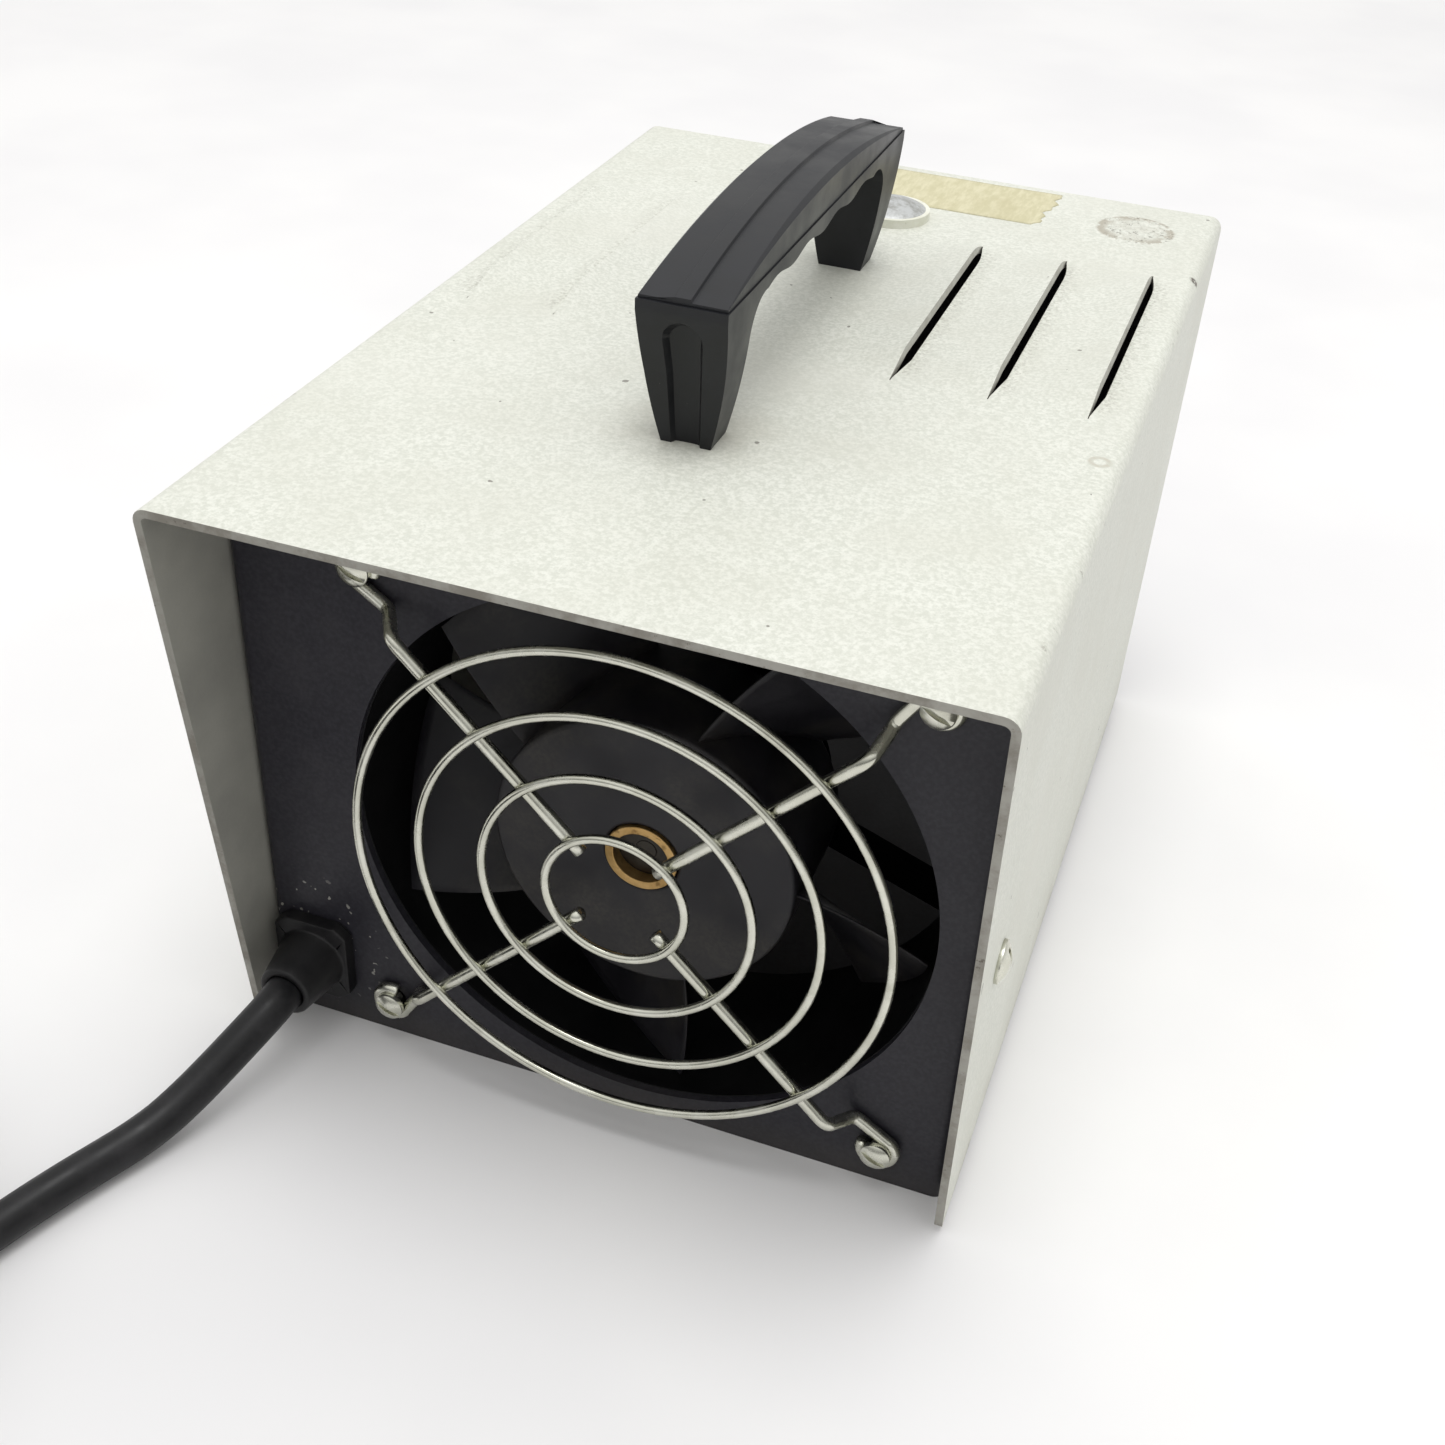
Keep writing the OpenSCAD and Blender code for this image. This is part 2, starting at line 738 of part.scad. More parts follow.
module impeller_blades() {
    color([0.16, 0.16, 0.15]) on_fan() for (i = [0 : blade_count - 1]) rotate(i * 360 / blade_count) blade();
}

module hub_ring() {
    color("goldenrod") on_fan(hub_front - 0.4) ring(ring_r, ring_in_r, hub_wall + 0.4);
}

module rotor_cup() {
    color("gray") on_fan(hub_front + hub_wall) difference() {
        cylinder(r = cup_r, h = 25);
        translate([0, 0, 1.6]) cylinder(r = 24, h = 25);
        translate([0, 0, -1]) cylinder(r = shaft_r, h = 4);
    }
}

module rotor_cage() {
    color("lightgray") on_fan(12.5) ring(24, 20.8, 15);
}

module rotor_shaft() {
    color("silver") on_fan(hub_front + hub_wall) difference() {
        cylinder(r = shaft_r, h = 32.5);
        translate([0, 0, 30.4]) ring(shaft_r + 1, 1.6, 0.8);
    }
}

module shaft_clip() {
    color("silver") on_fan(hub_front + hub_wall + 30.5) difference() {
        ring(3.8, 1.6, 0.6);
        translate([0, -0.9, -1]) cube([6, 1.8, 3]);
    }
}

// ---------- power entry ----------

module strain_relief() {
    color([0.08, 0.08, 0.08]) translate([-cord_x, front_y, cord_z]) rotate([90, 0, 0]) difference() {
        union() {
            translate([0, 0, -relief_in]) cylinder(r = 7.4, h = relief_in + 1);
            intersection() {
                translate([-8.2, -9.5, 0]) cube([16.4, 19, 3]);
                cylinder(r = 11, h = 3);
            }
            translate([0, 0, 2]) cylinder(r1 = 7.4, r2 = 5.6, h = relief_out - 2);
        }
        translate([0, 0, -relief_in - 1]) cylinder(d = cord_d, h = relief_in + relief_out + 2);
    }
}

module inner_lead() {
    color([0.06, 0.06, 0.06]) swept_tube(inner_route, cord_d / 2 - 0.15, 12);
}

module terminal_block() {
    color("ivory") difference() {
        translate([terminal_x - 12, terminal_y - 10, sheet_t]) cube([24, 20, 15]);
        for (i = [-1 : 1]) translate([terminal_x + i * 7, terminal_y, sheet_t + 6]) cylinder(r = 2.2, h = 20);
    }
}

module terminal_screws() {
    color("goldenrod") for (i = [-1 : 1])
        translate([terminal_x + i * 7, terminal_y, sheet_t + 6]) cylinder(r = 2.1, h = 7);
}

module fan_leads() {
    color("black") {
        swept_tube(fan_lead_a, lead_r, 8, [1, 0.3, 0]);
        swept_tube(fan_lead_b, lead_r, 8, [1, 0.3, 0]);
    }
}

module switch_leads() {
    color("saddlebrown") {
        swept_tube(switch_lead_a, lead_r, 8, [1, 0, 0]);
        swept_tube(switch_lead_b, lead_r, 8, [1, 0, 0]);
    }
}

module ground_lead() {
    color("green") swept_tube(ground_lead_route, lead_r, 8, [1, 0, 0]);
}

module ground_screw() {
    color("silver") translate([ground_x, ground_y, sheet_t]) difference() {
        union() {
            translate([0, 0, -sheet_t]) cylinder(r = 2, h = 12);
            cylinder(r = 3.6, h = 1.4);
        }
        translate([-3, -0.5, 9.6]) cube([6, 1, 2]);
    }
}

module ground_nut() {
    color("silver") translate([ground_x, ground_y, sheet_t + 4]) hex_nut(7, 2, 3.2);
}

// ---------- rear fittings ----------

module switch_body() {
    color([0.1, 0.1, 0.1]) translate([switch_x, rear_y, switch_z]) difference() {
        union() {
            translate([-7.5, 0, -10.5]) cube([15, 2, 21]);
            translate([-6.4, -15, -9.6]) cube([12.8, 15.5, 19.2]);
        }
        translate([-5.2, -7, -8.4]) cube([10.4, 12, 16.8]);
    }
}

module rocker() {
    color([0.15, 0.02, 0.02]) translate([switch_x, rear_y, switch_z]) rotate([-rocker_tilt, 0, 0])
        along_x(9.6) difference() {
            intersection() {
                circle(r = 7.8);
                translate([-4, -8]) square([9, 16]);
            }
            translate([31, 0]) circle(r = 27.6, $fn = 180);
        }
}

module fuse_holder() {
    color([0.1, 0.1, 0.1]) translate([fuse_x, rear_y, fuse_z]) rotate([90, 0, 0]) {
        difference() {
            union() {
                translate([0, 0, -2]) cylinder(r = 8, h = 2);
                translate([0, 0, -0.5]) cylinder(r = fuse_r, h = 36);
            }
            translate([0, 0, -3]) cylinder(r = 4.6, h = 36);
        }
    }
}

module fuse_cap() {
    color([0.15, 0.15, 0.15]) translate([fuse_x, rear_y, fuse_z]) rotate([90, 0, 0]) difference() {
        union() {
            translate([0, 0, -6]) cylinder(r = 6, h = 4);
            translate([0, 0, -3]) cylinder(r = 4.5, h = 10);
        }
        translate([0, 0, 1]) cylinder(r = 2.6, h = 20);
        translate([-7, -0.7, -7]) cube([14, 1.4, 2]);
    }
}

module glass_fuse() {
    color("lightcyan") translate([fuse_x, rear_y, fuse_z]) rotate([90, 0, 0])
        translate([0, 0, 1]) cylinder(r = 2.5, h = 20);
}

// ---------- cord ----------

module power_cord() {
    color([0.06, 0.06, 0.06]) {
        swept_tube(cord_route, cord_d / 2, 12);
        swept_tube(tail_route, cord_d / 2, 12);
    }
}

module cord_coil() {
    color([0.06, 0.06, 0.06]) translate([coil_x, coil_y, coil_z0]) rotate_extrude()
        translate([coil_mid_r - coil_columns * cord_d / 2, 0])
            square([coil_columns * cord_d, coil_layers * cord_d]);
}

module cord_tie() {
    w = coil_columns * cord_d;
    h = coil_layers * cord_d;
    color("dimgray") translate([coil_x, coil_y, coil_z0]) rotate(tie_angle)
        translate([coil_mid_r, 0, 0]) difference() {
        translate([-w / 2 - tie_t - 0.4, -tie_w / 2, -tie_t]) cube([w + 2 * tie_t + 0.4, tie_w, h + 2 * tie_t]);
        translate([-w / 2 - 0.4, -tie_w, 0]) cube([w + 0.4, 2 * tie_w, h]);
    }
}

module plug_body() {
    color([0.07, 0.07, 0.07]) translate(plug_start) rotate([0, -90, 0]) {
        cylinder(r1 = cord_d / 2 + 0.6, r2 = 6.5, h = plug_tail_len);
        intersection() {
            translate([-plug_half_h, -13, plug_tail_len - 1]) cube([2 * plug_half_h, 26, plug_len]);
            translate([0, 0, plug_tail_len - 1]) cylinder(r1 = 11, r2 = 22, h = plug_len);
        }
    }
}

module plug_blades() {
    color("goldenrod") translate(plug_start) rotate([0, -90, 0]) for (s = [-1, 1])
        translate([-1 - 3.2, s * 6.35 - 0.75, plug_tail_len + plug_len - 1]) cube([6.4, 1.5, 16]);
}

module plug_ground_pin() {
    color("goldenrod") translate(plug_start) rotate([0, -90, 0])
        translate([-8, 0, plug_tail_len + plug_len - 1]) cylinder(r = 2.4, h = 18);
}

base_tray();
front_panel();
rear_panel();
cover();
cover_screws();
cover_nuts();
handle_body();
handle_strip();
handle_screws();
handle_washers();
bumper_pad();
bumper_dome();
tape_strip();
fan_frame();
motor_mount();
stator_core();
stator_windings();
shaft_bearings();
fan_terminals();
guard_rings();
guard_spokes();
guard_screws();
guard_nuts();
impeller_hub();
impeller_blades();
hub_ring();
rotor_cup();
rotor_cage();
rotor_shaft();
shaft_clip();
strain_relief();
inner_lead();
terminal_block();
terminal_screws();
fan_leads();
switch_leads();
ground_lead();
ground_screw();
ground_nut();
switch_body();
rocker();
fuse_holder();
fuse_cap();
glass_fuse();
power_cord();
cord_coil();
cord_tie();
plug_body();
plug_blades();
plug_ground_pin();
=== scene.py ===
"""Portable cabinet fan: camera, light, cord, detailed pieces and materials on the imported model."""
import json
import math

import bpy
from mathutils import Matrix, Vector


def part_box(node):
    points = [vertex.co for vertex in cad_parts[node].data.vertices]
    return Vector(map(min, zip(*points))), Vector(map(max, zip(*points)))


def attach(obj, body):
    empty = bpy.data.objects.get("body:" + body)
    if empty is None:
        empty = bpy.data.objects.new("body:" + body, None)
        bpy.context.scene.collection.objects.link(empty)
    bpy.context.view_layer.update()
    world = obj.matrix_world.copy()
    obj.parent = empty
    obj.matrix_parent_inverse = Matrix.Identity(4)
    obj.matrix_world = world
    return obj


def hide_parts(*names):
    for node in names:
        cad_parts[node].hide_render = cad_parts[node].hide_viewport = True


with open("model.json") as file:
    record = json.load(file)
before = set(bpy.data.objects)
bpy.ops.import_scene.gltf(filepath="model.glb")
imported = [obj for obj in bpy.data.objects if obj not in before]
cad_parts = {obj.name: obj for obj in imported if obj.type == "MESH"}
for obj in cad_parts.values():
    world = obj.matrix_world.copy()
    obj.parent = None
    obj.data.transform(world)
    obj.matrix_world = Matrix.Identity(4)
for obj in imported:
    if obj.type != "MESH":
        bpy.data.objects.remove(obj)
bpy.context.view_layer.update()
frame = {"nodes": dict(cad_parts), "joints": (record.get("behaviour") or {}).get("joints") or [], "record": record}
NODES = frame["nodes"]
MM = 0.001


# ---------- places worked out from the model ----------

def middle(node):
    low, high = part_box(node)
    return (low + high) / 2


cover_low, cover_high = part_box("cover")
coil_low, coil_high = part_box("cord_coil")
cover_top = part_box("handle_body")[0].z
panel_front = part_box("front_panel")[0].y
axis_at = next(Vector(j["pos_m"]) for j in frame["joints"] if j["name"] == "fan_spin")


# ---------- small builders ----------

def mesh_piece(name, points, faces, body):
    """A new mesh object that rides on a body."""
    mesh = bpy.data.meshes.new(name)
    mesh.from_pydata([tuple(p) for p in points], [], faces)
    mesh.validate()
    mesh.polygons.foreach_set("use_smooth", [True] * len(mesh.polygons))
    piece = bpy.data.objects.new(name, mesh)
    bpy.context.scene.collection.objects.link(piece)
    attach(piece, body)
    return piece


def tube_piece(name, routes, radius, body):
    """Round wires or cords along smooth routes, as one mesh with closed ends."""
    around = 16
    points, faces = [], []
    for route in routes:
        first = len(points)
        side = (route[1] - route[0]).orthogonal().normalized()
        for i, place in enumerate(route):
            ahead = (route[min(i + 1, len(route) - 1)] - route[max(i - 1, 0)]).normalized()
            side = (side - ahead * side.dot(ahead)).normalized()
            up = ahead.cross(side)
            for k in range(around):
                a = 2 * math.pi * k / around
                points.append(place + (side * math.cos(a) + up * math.sin(a)) * radius)
        for i in range(len(route) - 1):
            for k in range(around):
                a, b = first + i * around + k, first + i * around + (k + 1) % around
                faces.append((a, b, b + around, a + around))
        faces.append(tuple(first + k for k in reversed(range(around))))
        faces.append(tuple(first + (len(route) - 1) * around + k for k in range(around)))
    return mesh_piece(name, points, faces, body)


def smoothed(points, steps):
    """The points of a Catmull-Rom curve through the given ones."""
    ends = [points[0] * 2 - points[1], *points, points[-1] * 2 - points[-2]]
    out = []
    for a, b, c, d in zip(ends, ends[1:], ends[2:], ends[3:]):
        for k in range(steps):
            t = k / steps
            square, cube = 2 * a - 5 * b + 4 * c - d, 3 * b - a - 3 * c + d
            out.append(0.5 * (2 * b + (c - a) * t + square * t * t + cube * t ** 3))
    return out + [points[-1]]


def add_weighted_normals(piece):
    normals = piece.modifiers.new("normals", "WEIGHTED_NORMAL")
    normals.keep_sharp = False


def add_bevel(piece, width, sharper_than):
    bevel = piece.modifiers.new("edges", "BEVEL")
    bevel.width = width
    bevel.segments = 2
    bevel.limit_method = "ANGLE"
    bevel.angle_limit = math.radians(sharper_than)


def soften(piece, width):
    """Rounds the sharp edges of a piece a little, and shades the rest smooth."""
    weld = piece.modifiers.new("weld", "WELD")
    weld.merge_threshold = 0.002 * MM
    add_bevel(piece, width, 30)
    add_weighted_normals(piece)


# ---------- camera, floor and light ----------

AZIMUTH = math.radians(18.06)
ELEVATION = math.radians(35.6)
ROLL = math.radians(3.36)
CAMERA_AT = (0.0989, -0.3265, 0.2767)
LENS = 44.5


def make_camera():
    data = bpy.data.cameras.new("camera")
    data.lens = LENS
    data.sensor_width = 36
    data.clip_start = 0.01
    data.clip_end = 50
    camera = bpy.data.objects.new("camera", data)
    bpy.context.scene.collection.objects.link(camera)
    back = Vector((
        math.sin(AZIMUTH) * math.cos(ELEVATION),
        -math.cos(AZIMUTH) * math.cos(ELEVATION),
        math.sin(ELEVATION),
    ))
    turn = (-back).to_track_quat("-Z", "Y").to_matrix() @ Matrix.Rotation(ROLL, 3, "Z")
    camera.matrix_world = Matrix.Translation(CAMERA_AT) @ turn.to_4x4()
    bpy.context.scene.camera = camera


KEY_AT, KEY_AIM = Vector((0.1, -0.1, 1.7)), Vector((0, 0, 0.05))
KEY_SIZE, KEY_WATTS = 0.9, 10


def make_key_light():
    data = bpy.data.lights.new("key", "AREA")
    data.shape = "DISK"
    data.size = KEY_SIZE
    data.energy = KEY_WATTS
    light = bpy.data.objects.new("key", data)
    light.location = KEY_AT
    light.rotation_euler = (KEY_AT - KEY_AIM).to_track_quat("Z", "Y").to_euler()
    bpy.context.scene.collection.objects.link(light)


def make_light():
    """A white room, bright overhead and dimmer at the horizon, most of all in front of the fan."""
    world = bpy.data.worlds.new("studio")
    world.use_nodes = True
    tree = world.node_tree
    sky = tree.nodes["Background"]
    sky.inputs["Color"].default_value = (1, 1, 0.99, 1)

    def smooth(value, low, high, to_low, to_high):
        ramp = tree.nodes.new("ShaderNodeMapRange")
        ramp.interpolation_type = "SMOOTHSTEP"
        tree.links.new(value, ramp.inputs["Value"])
        for key, number in (("From Min", low), ("From Max", high)):
            ramp.inputs[key].default_value = number
        for key, target in (("To Min", to_low), ("To Max", to_high)):
            if isinstance(target, float):
                ramp.inputs[key].default_value = target
            else:
                tree.links.new(target, ramp.inputs[key])
        return ramp.outputs["Result"]

    towards = tree.nodes.new("ShaderNodeSeparateXYZ")
    tree.links.new(tree.nodes.new("ShaderNodeTexCoord").outputs["Generated"], towards.inputs[0])
    horizon = smooth(towards.outputs["Y"], -0.6, 0.5, 0.2, 0.62)
    tree.links.new(smooth(towards.outputs["Z"], 0.0, 0.8, horizon, 1.0), sky.inputs["Strength"])
    bpy.context.scene.world = world
    bpy.context.scene.view_settings.view_transform = "Standard"
    make_key_light()


# ---------- materials ----------

def srgb(red, green, blue):
    """A colour given as 0 to 255 on a screen, in linear light."""
    def linear(c):
        c /= 255
        return c / 12.92 if c <= 0.04045 else ((c + 0.055) / 1.055) ** 2.4
    return (linear(red), linear(green), linear(blue), 1)


class Finish:
    """A node material: its methods add nodes and give back the socket that holds the result."""

    def __init__(self, name, rough, metal=0.0):
        self.material = bpy.data.materials.new(name)
        self.material.use_nodes = True
        self.tree = self.material.node_tree
        self.shader = self.tree.nodes["Principled BSDF"]
        self.shader.inputs["Metallic"].default_value = metal
        self.shader.inputs["Roughness"].default_value = rough
        self.place = self.add("ShaderNodeTexCoord").outputs["Object"]

    def add(self, kind, inputs=None, **settings):
        node = self.tree.nodes.new(kind)
        for key, value in settings.items():
            setattr(node, key, value)
        for key, value in (inputs or {}).items():
            if isinstance(value, bpy.types.NodeSocket):
                self.tree.links.new(value, node.inputs[key])
            else:
                node.inputs[key].default_value = value
        return node

    def stretched(self, x, y, z):
        return self.add("ShaderNodeMapping", {"Vector": self.place, "Scale": (x, y, z)}).outputs["Vector"]

    def noise(self, size, detail=3.0, rough=0.5, place=None, shift=0.0):
        """Soft noise whose features are about size metres across."""
        place = place or self.place
        if shift:
            moved = {"Vector": place, "Location": (shift, shift, shift)}
            place = self.add("ShaderNodeMapping", moved).outputs["Vector"]
        made = self.add("ShaderNodeTexNoise", {
            "Vector": place, "Scale": 1 / size, "Detail": detail, "Roughness": rough,
        })
        return made.outputs["Fac"]

    def band(self, value, low, high, to_low=0.0, to_high=1.0):
        """value taken smoothly from low..high to to_low..to_high."""
        made = self.add("ShaderNodeMapRange", {
            "Value": value, "From Min": low, "From Max": high, "To Min": to_low, "To Max": to_high,
        }, interpolation_type="SMOOTHSTEP")
        return made.outputs["Result"]

    def maths(self, operation, a, b=0.0):
        return self.add("ShaderNodeMath", {0: a, 1: b}, operation=operation).outputs[0]

    def both(self, a, b):
        return self.maths("MULTIPLY", a, b)

    def mix(self, amount, a, b):
        made = self.add("ShaderNodeMix", {"Factor": amount}, data_type="RGBA")
        for socket, value in ((made.inputs[6], a), (made.inputs[7], b)):
            if isinstance(value, bpy.types.NodeSocket):
                self.tree.links.new(value, socket)
            else:
                socket.default_value = value
        return made.outputs[2]

    def axes(self):
        return self.add("ShaderNodeSeparateXYZ", {"Vector": self.place}).outputs

    def distance(self, point, flatten=(1, 1, 1)):
        """Distance from a point, with any axis left out whose flatten is 0."""
        away = self.add("ShaderNodeVectorMath", {0: self.place, 1: point}, operation="SUBTRACT").outputs[0]
        kept = self.add("ShaderNodeVectorMath", {0: away, 1: flatten}, operation="MULTIPLY").outputs[0]
        return self.add("ShaderNodeVectorMath", {0: kept}, operation="LENGTH").outputs["Value"]

    def colour(self, socket):
        self.tree.links.new(socket, self.shader.inputs["Base Color"])

    def rough(self, socket):
        self.tree.links.new(socket, self.shader.inputs["Roughness"])

    def metal(self, socket):
        self.tree.links.new(socket, self.shader.inputs["Metallic"])

    def bump(self, height, depth, strength):
        made = self.add("ShaderNodeBump", {"Height": height, "Distance": depth, "Strength": strength})
        self.tree.links.new(made.outputs["Normal"], self.shader.inputs["Normal"])


# Marks on the cover, and the lips of its louvres to either side of the middle.
SLOT_LINES = (26.5 * MM, 46 * MM, 65.5 * MM)
LOUVRE_START = -11 * MM
LOUVRE_LENGTH = 79 * MM
PAD_MARK = (56.6 * MM, 95.5 * MM, 130 * MM)
DENT = (70.4 * MM, -28 * MM, 130 * MM)
EDGE_CHIP = (74 * MM, 71 * MM, 129.2 * MM)
HANDLE_FOOT = (0, -49.7 * MM, 130 * MM)


def cover_paint():
    """Pale warm grey enamel with a fine mottle, dust by the louvres and an old adhesive mark, plus painted shade
    inside the cover and partly round the handle's front foot.
    """
    f = Finish("cover_paint", 0.5)
    fine = f.noise(0.8 * MM, 4, 0.65)
    coarse = f.noise(26 * MM, 3, 0.6)
    patches = f.noise(60 * MM, 2, 0.5, shift=3.1)
    base = f.mix(f.band(fine, 0.36, 0.66), srgb(207, 209, 198), srgb(228, 229, 220))
    base = f.mix(f.band(coarse, 0.35, 0.75, 0, 0.45), base, srgb(208, 208, 196))
    base = f.mix(f.band(patches, 0.5, 0.8, 0, 0.4), base, srgb(226, 226, 217))
    x, y, z = f.axes()[:3]
    across = f.maths("ABSOLUTE", x)
    near_slot = None
    for line in SLOT_LINES:
        beside = f.maths("SUBTRACT", across, line)
        this = f.both(f.band(beside, -1 * MM, 7 * MM, 1, 0), f.band(beside, 0.6 * MM, 1.0 * MM))
        near_slot = this if near_slot is None else f.maths("MAXIMUM", near_slot, this)
    along = f.maths("ABSOLUTE", f.maths("SUBTRACT", y, LOUVRE_START + LOUVRE_LENGTH / 2))
    near_slot = f.both(near_slot, f.band(along, LOUVRE_LENGTH * 0.42, LOUVRE_LENGTH * 0.5, 1, 0))
    near_slot = f.both(near_slot, f.band(z, 128 * MM, 129.6 * MM))
    dust = f.both(near_slot, f.band(f.noise(0.9 * MM, 5, 0.75, shift=1.3), 0.46, 0.6))
    base = f.mix(f.both(dust, 0.5), base, srgb(132, 127, 114))
    mark_r = f.distance(PAD_MARK, (1, 1, 0))
    disc = f.both(f.band(mark_r, 8.6 * MM, 9.6 * MM, 1, 0), f.band(z, 129 * MM, 129.8 * MM))
    rim = f.both(f.band(mark_r, 5.5 * MM, 8.4 * MM, 0.25, 1), disc)
    flakes = f.both(rim, f.band(f.noise(3.4 * MM, 4, 0.7, shift=0.7), 0.42, 0.54))
    grains = f.both(disc, f.band(f.noise(0.9 * MM, 4, 0.7, shift=8.2), 0.56, 0.66))
    scraped = f.maths("MAXIMUM", flakes, grains)
    base = f.mix(f.both(flakes, 0.8), base, srgb(166, 158, 142))
    base = f.mix(f.both(grains, 0.8), base, srgb(112, 105, 92))
    dent_r = f.distance(DENT, (1, 1, 0))
    dent = f.both(f.band(dent_r, 0.9 * MM, 1.5 * MM), f.band(dent_r, 1.9 * MM, 2.5 * MM, 1, 0))
    base = f.mix(f.both(dent, f.band(fine, 0.3, 0.6, 0.1, 0.6)), base, srgb(176, 168, 150))
    # Partly dirt and partly painted shade: a darker brownish ring round the handle's front foot stands in for its
    # contact shadow as well as grime.
    foot_r = f.distance(HANDLE_FOOT, (1, 1, 0))
    smudge_and_shade = f.both(f.band(foot_r, 4 * MM, 20 * MM, 1, 0), f.band(coarse, 0.3, 0.6, 0.3, 1))
    base = f.mix(f.both(smudge_and_shade, 0.35), base, srgb(178, 172, 155))
    specks = f.maths("GREATER_THAN", f.noise(3.4 * MM, 1, 0.4, shift=5.7), 0.805)
    base = f.mix(f.both(specks, 0.7), base, srgb(96, 90, 80))
    chip = f.band(f.distance(EDGE_CHIP), 0.8 * MM, 1.7 * MM, 1, 0)
    base = f.mix(f.both(chip, f.band(fine, 0.35, 0.5)), base, srgb(92, 84, 76))
    bends = f.both(f.band(across, 72.6 * MM, 73.6 * MM), f.band(z, 126.6 * MM, 127.6 * MM))
    worn = f.both(bends, f.band(f.noise(4 * MM, 5, 0.7, shift=2.2), 0.6, 0.68))
    base = f.mix(f.both(worn, 0.6), base, srgb(150, 146, 136))
    # Painted shade: the cover's inner faces get a darker grey than its outside, standing in for the shade inside
    # the box.
    inside_shade_mask = f.both(f.band(across, 73.6 * MM, 74.3 * MM, 1, 0), f.band(z, 128.6 * MM, 129.3 * MM, 1, 0))
    inner_painted_shade = f.mix(f.band(coarse, 0.3, 0.7), srgb(150, 149, 142), srgb(170, 169, 160))
    base = f.mix(inside_shade_mask, base, inner_painted_shade)
    low = f.band(z, 2 * MM, 14 * MM, 0.35, 0)
    base = f.mix(f.both(low, f.band(f.noise(9 * MM, 4, 0.6), 0.4, 0.7)), base, srgb(170, 165, 150))
    f.colour(base)
    f.rough(f.band(fine, 0.3, 0.7, 0.42, 0.6))
    relief = f.maths("ADD", f.both(fine, 0.6), f.both(scraped, 2.0))
    f.bump(relief, 0.05 * MM, 0.6)
    return f.material


def cut_edge():
    """The sheet's sheared edge: thin paint over grey-brown steel, lighter on the louvres' lips."""
    f = Finish("cut_edge", 0.5, 0.3)
    wear = f.noise(7 * MM, 5, 0.7)
    base = f.mix(f.band(wear, 0.38, 0.68), srgb(160, 158, 150), srgb(136, 132, 123))
    base = f.mix(f.band(f.noise(2.4 * MM, 4, 0.7, shift=1.9), 0.63, 0.72, 0, 0.8), base, srgb(84, 74, 62))
    across, up = f.maths("ABSOLUTE", f.axes()[0]), f.axes()[2]
    lips = f.both(f.band(across, 71 * MM, 72 * MM, 1, 0), f.band(up, 130.2 * MM, 130.8 * MM))
    base = f.mix(lips, base, f.mix(f.band(wear, 0.38, 0.68), srgb(186, 185, 178), srgb(170, 168, 160)))
    f.colour(base)
    f.rough(f.band(wear, 0.3, 0.7, 0.4, 0.65))
    f.bump(wear, 0.06 * MM, 0.5)
    return f.material


def panel_paint():
    """Near-black satin enamel, dusty and chipped to bare steel by the cord's entry."""
    f = Finish("panel_paint", 0.42)
    f.shader.inputs["Specular IOR Level"].default_value = 0.3
    fine = f.noise(0.9 * MM, 4, 0.6)
    cloud = f.noise(22 * MM, 3, 0.6)
    base = f.mix(f.band(fine, 0.35, 0.7), srgb(39, 38, 44), srgb(49, 48, 54))
    base = f.mix(f.band(cloud, 0.45, 0.8, 0, 0.35), base, srgb(66, 64, 67))
    entry = middle("strain_relief")
    near = f.band(f.distance((entry.x, panel_front, entry.z + 4 * MM)), 9 * MM, 19 * MM, 1, 0)
    chips = f.both(near, f.band(f.noise(2.4 * MM, 2, 0.5, shift=4.4), 0.665, 0.68))
    base = f.mix(chips, base, srgb(196, 194, 186))
    low = f.band(f.axes()[2], 0.0, 10 * MM, 0.5, 0)
    base = f.mix(f.both(low, cloud), base, srgb(84, 80, 74))
    f.colour(base)
    f.metal(f.both(chips, 0.8))
    f.rough(f.band(cloud, 0.3, 0.7, 0.36, 0.52))
    f.bump(f.maths("SUBTRACT", fine, chips), 0.04 * MM, 0.5)
    return f.material


def plated_steel():
    """Dull nickel or zinc plate with fine drawing marks."""
    f = Finish("plated_steel", 0.26, 1.0)
    cloud = f.noise(7.0 * MM, 4, 0.6)
    stains = f.noise(12 * MM, 3, 0.6, shift=2.6)
    base = f.mix(f.band(cloud, 0.35, 0.7), srgb(202, 202, 188), srgb(224, 224, 212))
    base = f.mix(f.band(stains, 0.58, 0.75, 0, 0.45), base, srgb(132, 127, 112))
    f.colour(base)
    f.rough(f.band(cloud, 0.3, 0.7, 0.16, 0.34))
    f.bump(f.noise(2.5 * MM, 3, 0.6), 0.01 * MM, 0.3)
    return f.material


def moulded_black(name, low, high, rough, grain=0.5 * MM, depth=0.015 * MM, gloss=0.35):
    """Black moulding with a faint bloom and fine skin."""
    f = Finish(name, rough)
    f.shader.inputs["Specular IOR Level"].default_value = gloss
    cloud = f.noise(14 * MM, 4, 0.6)
    base = f.mix(f.band(cloud, 0.35, 0.7), low, high)
    lint = f.maths("GREATER_THAN", f.noise(1.3 * MM, 2, 0.5, shift=6.1), 0.79)
    base = f.mix(f.both(lint, 0.35), base, srgb(120, 118, 112))
    f.colour(base)
    f.rough(f.band(cloud, 0.3, 0.75, rough - 0.06, rough + 0.12))
    f.bump(f.noise(grain, 3, 0.6), depth, 0.6)
    return f.material


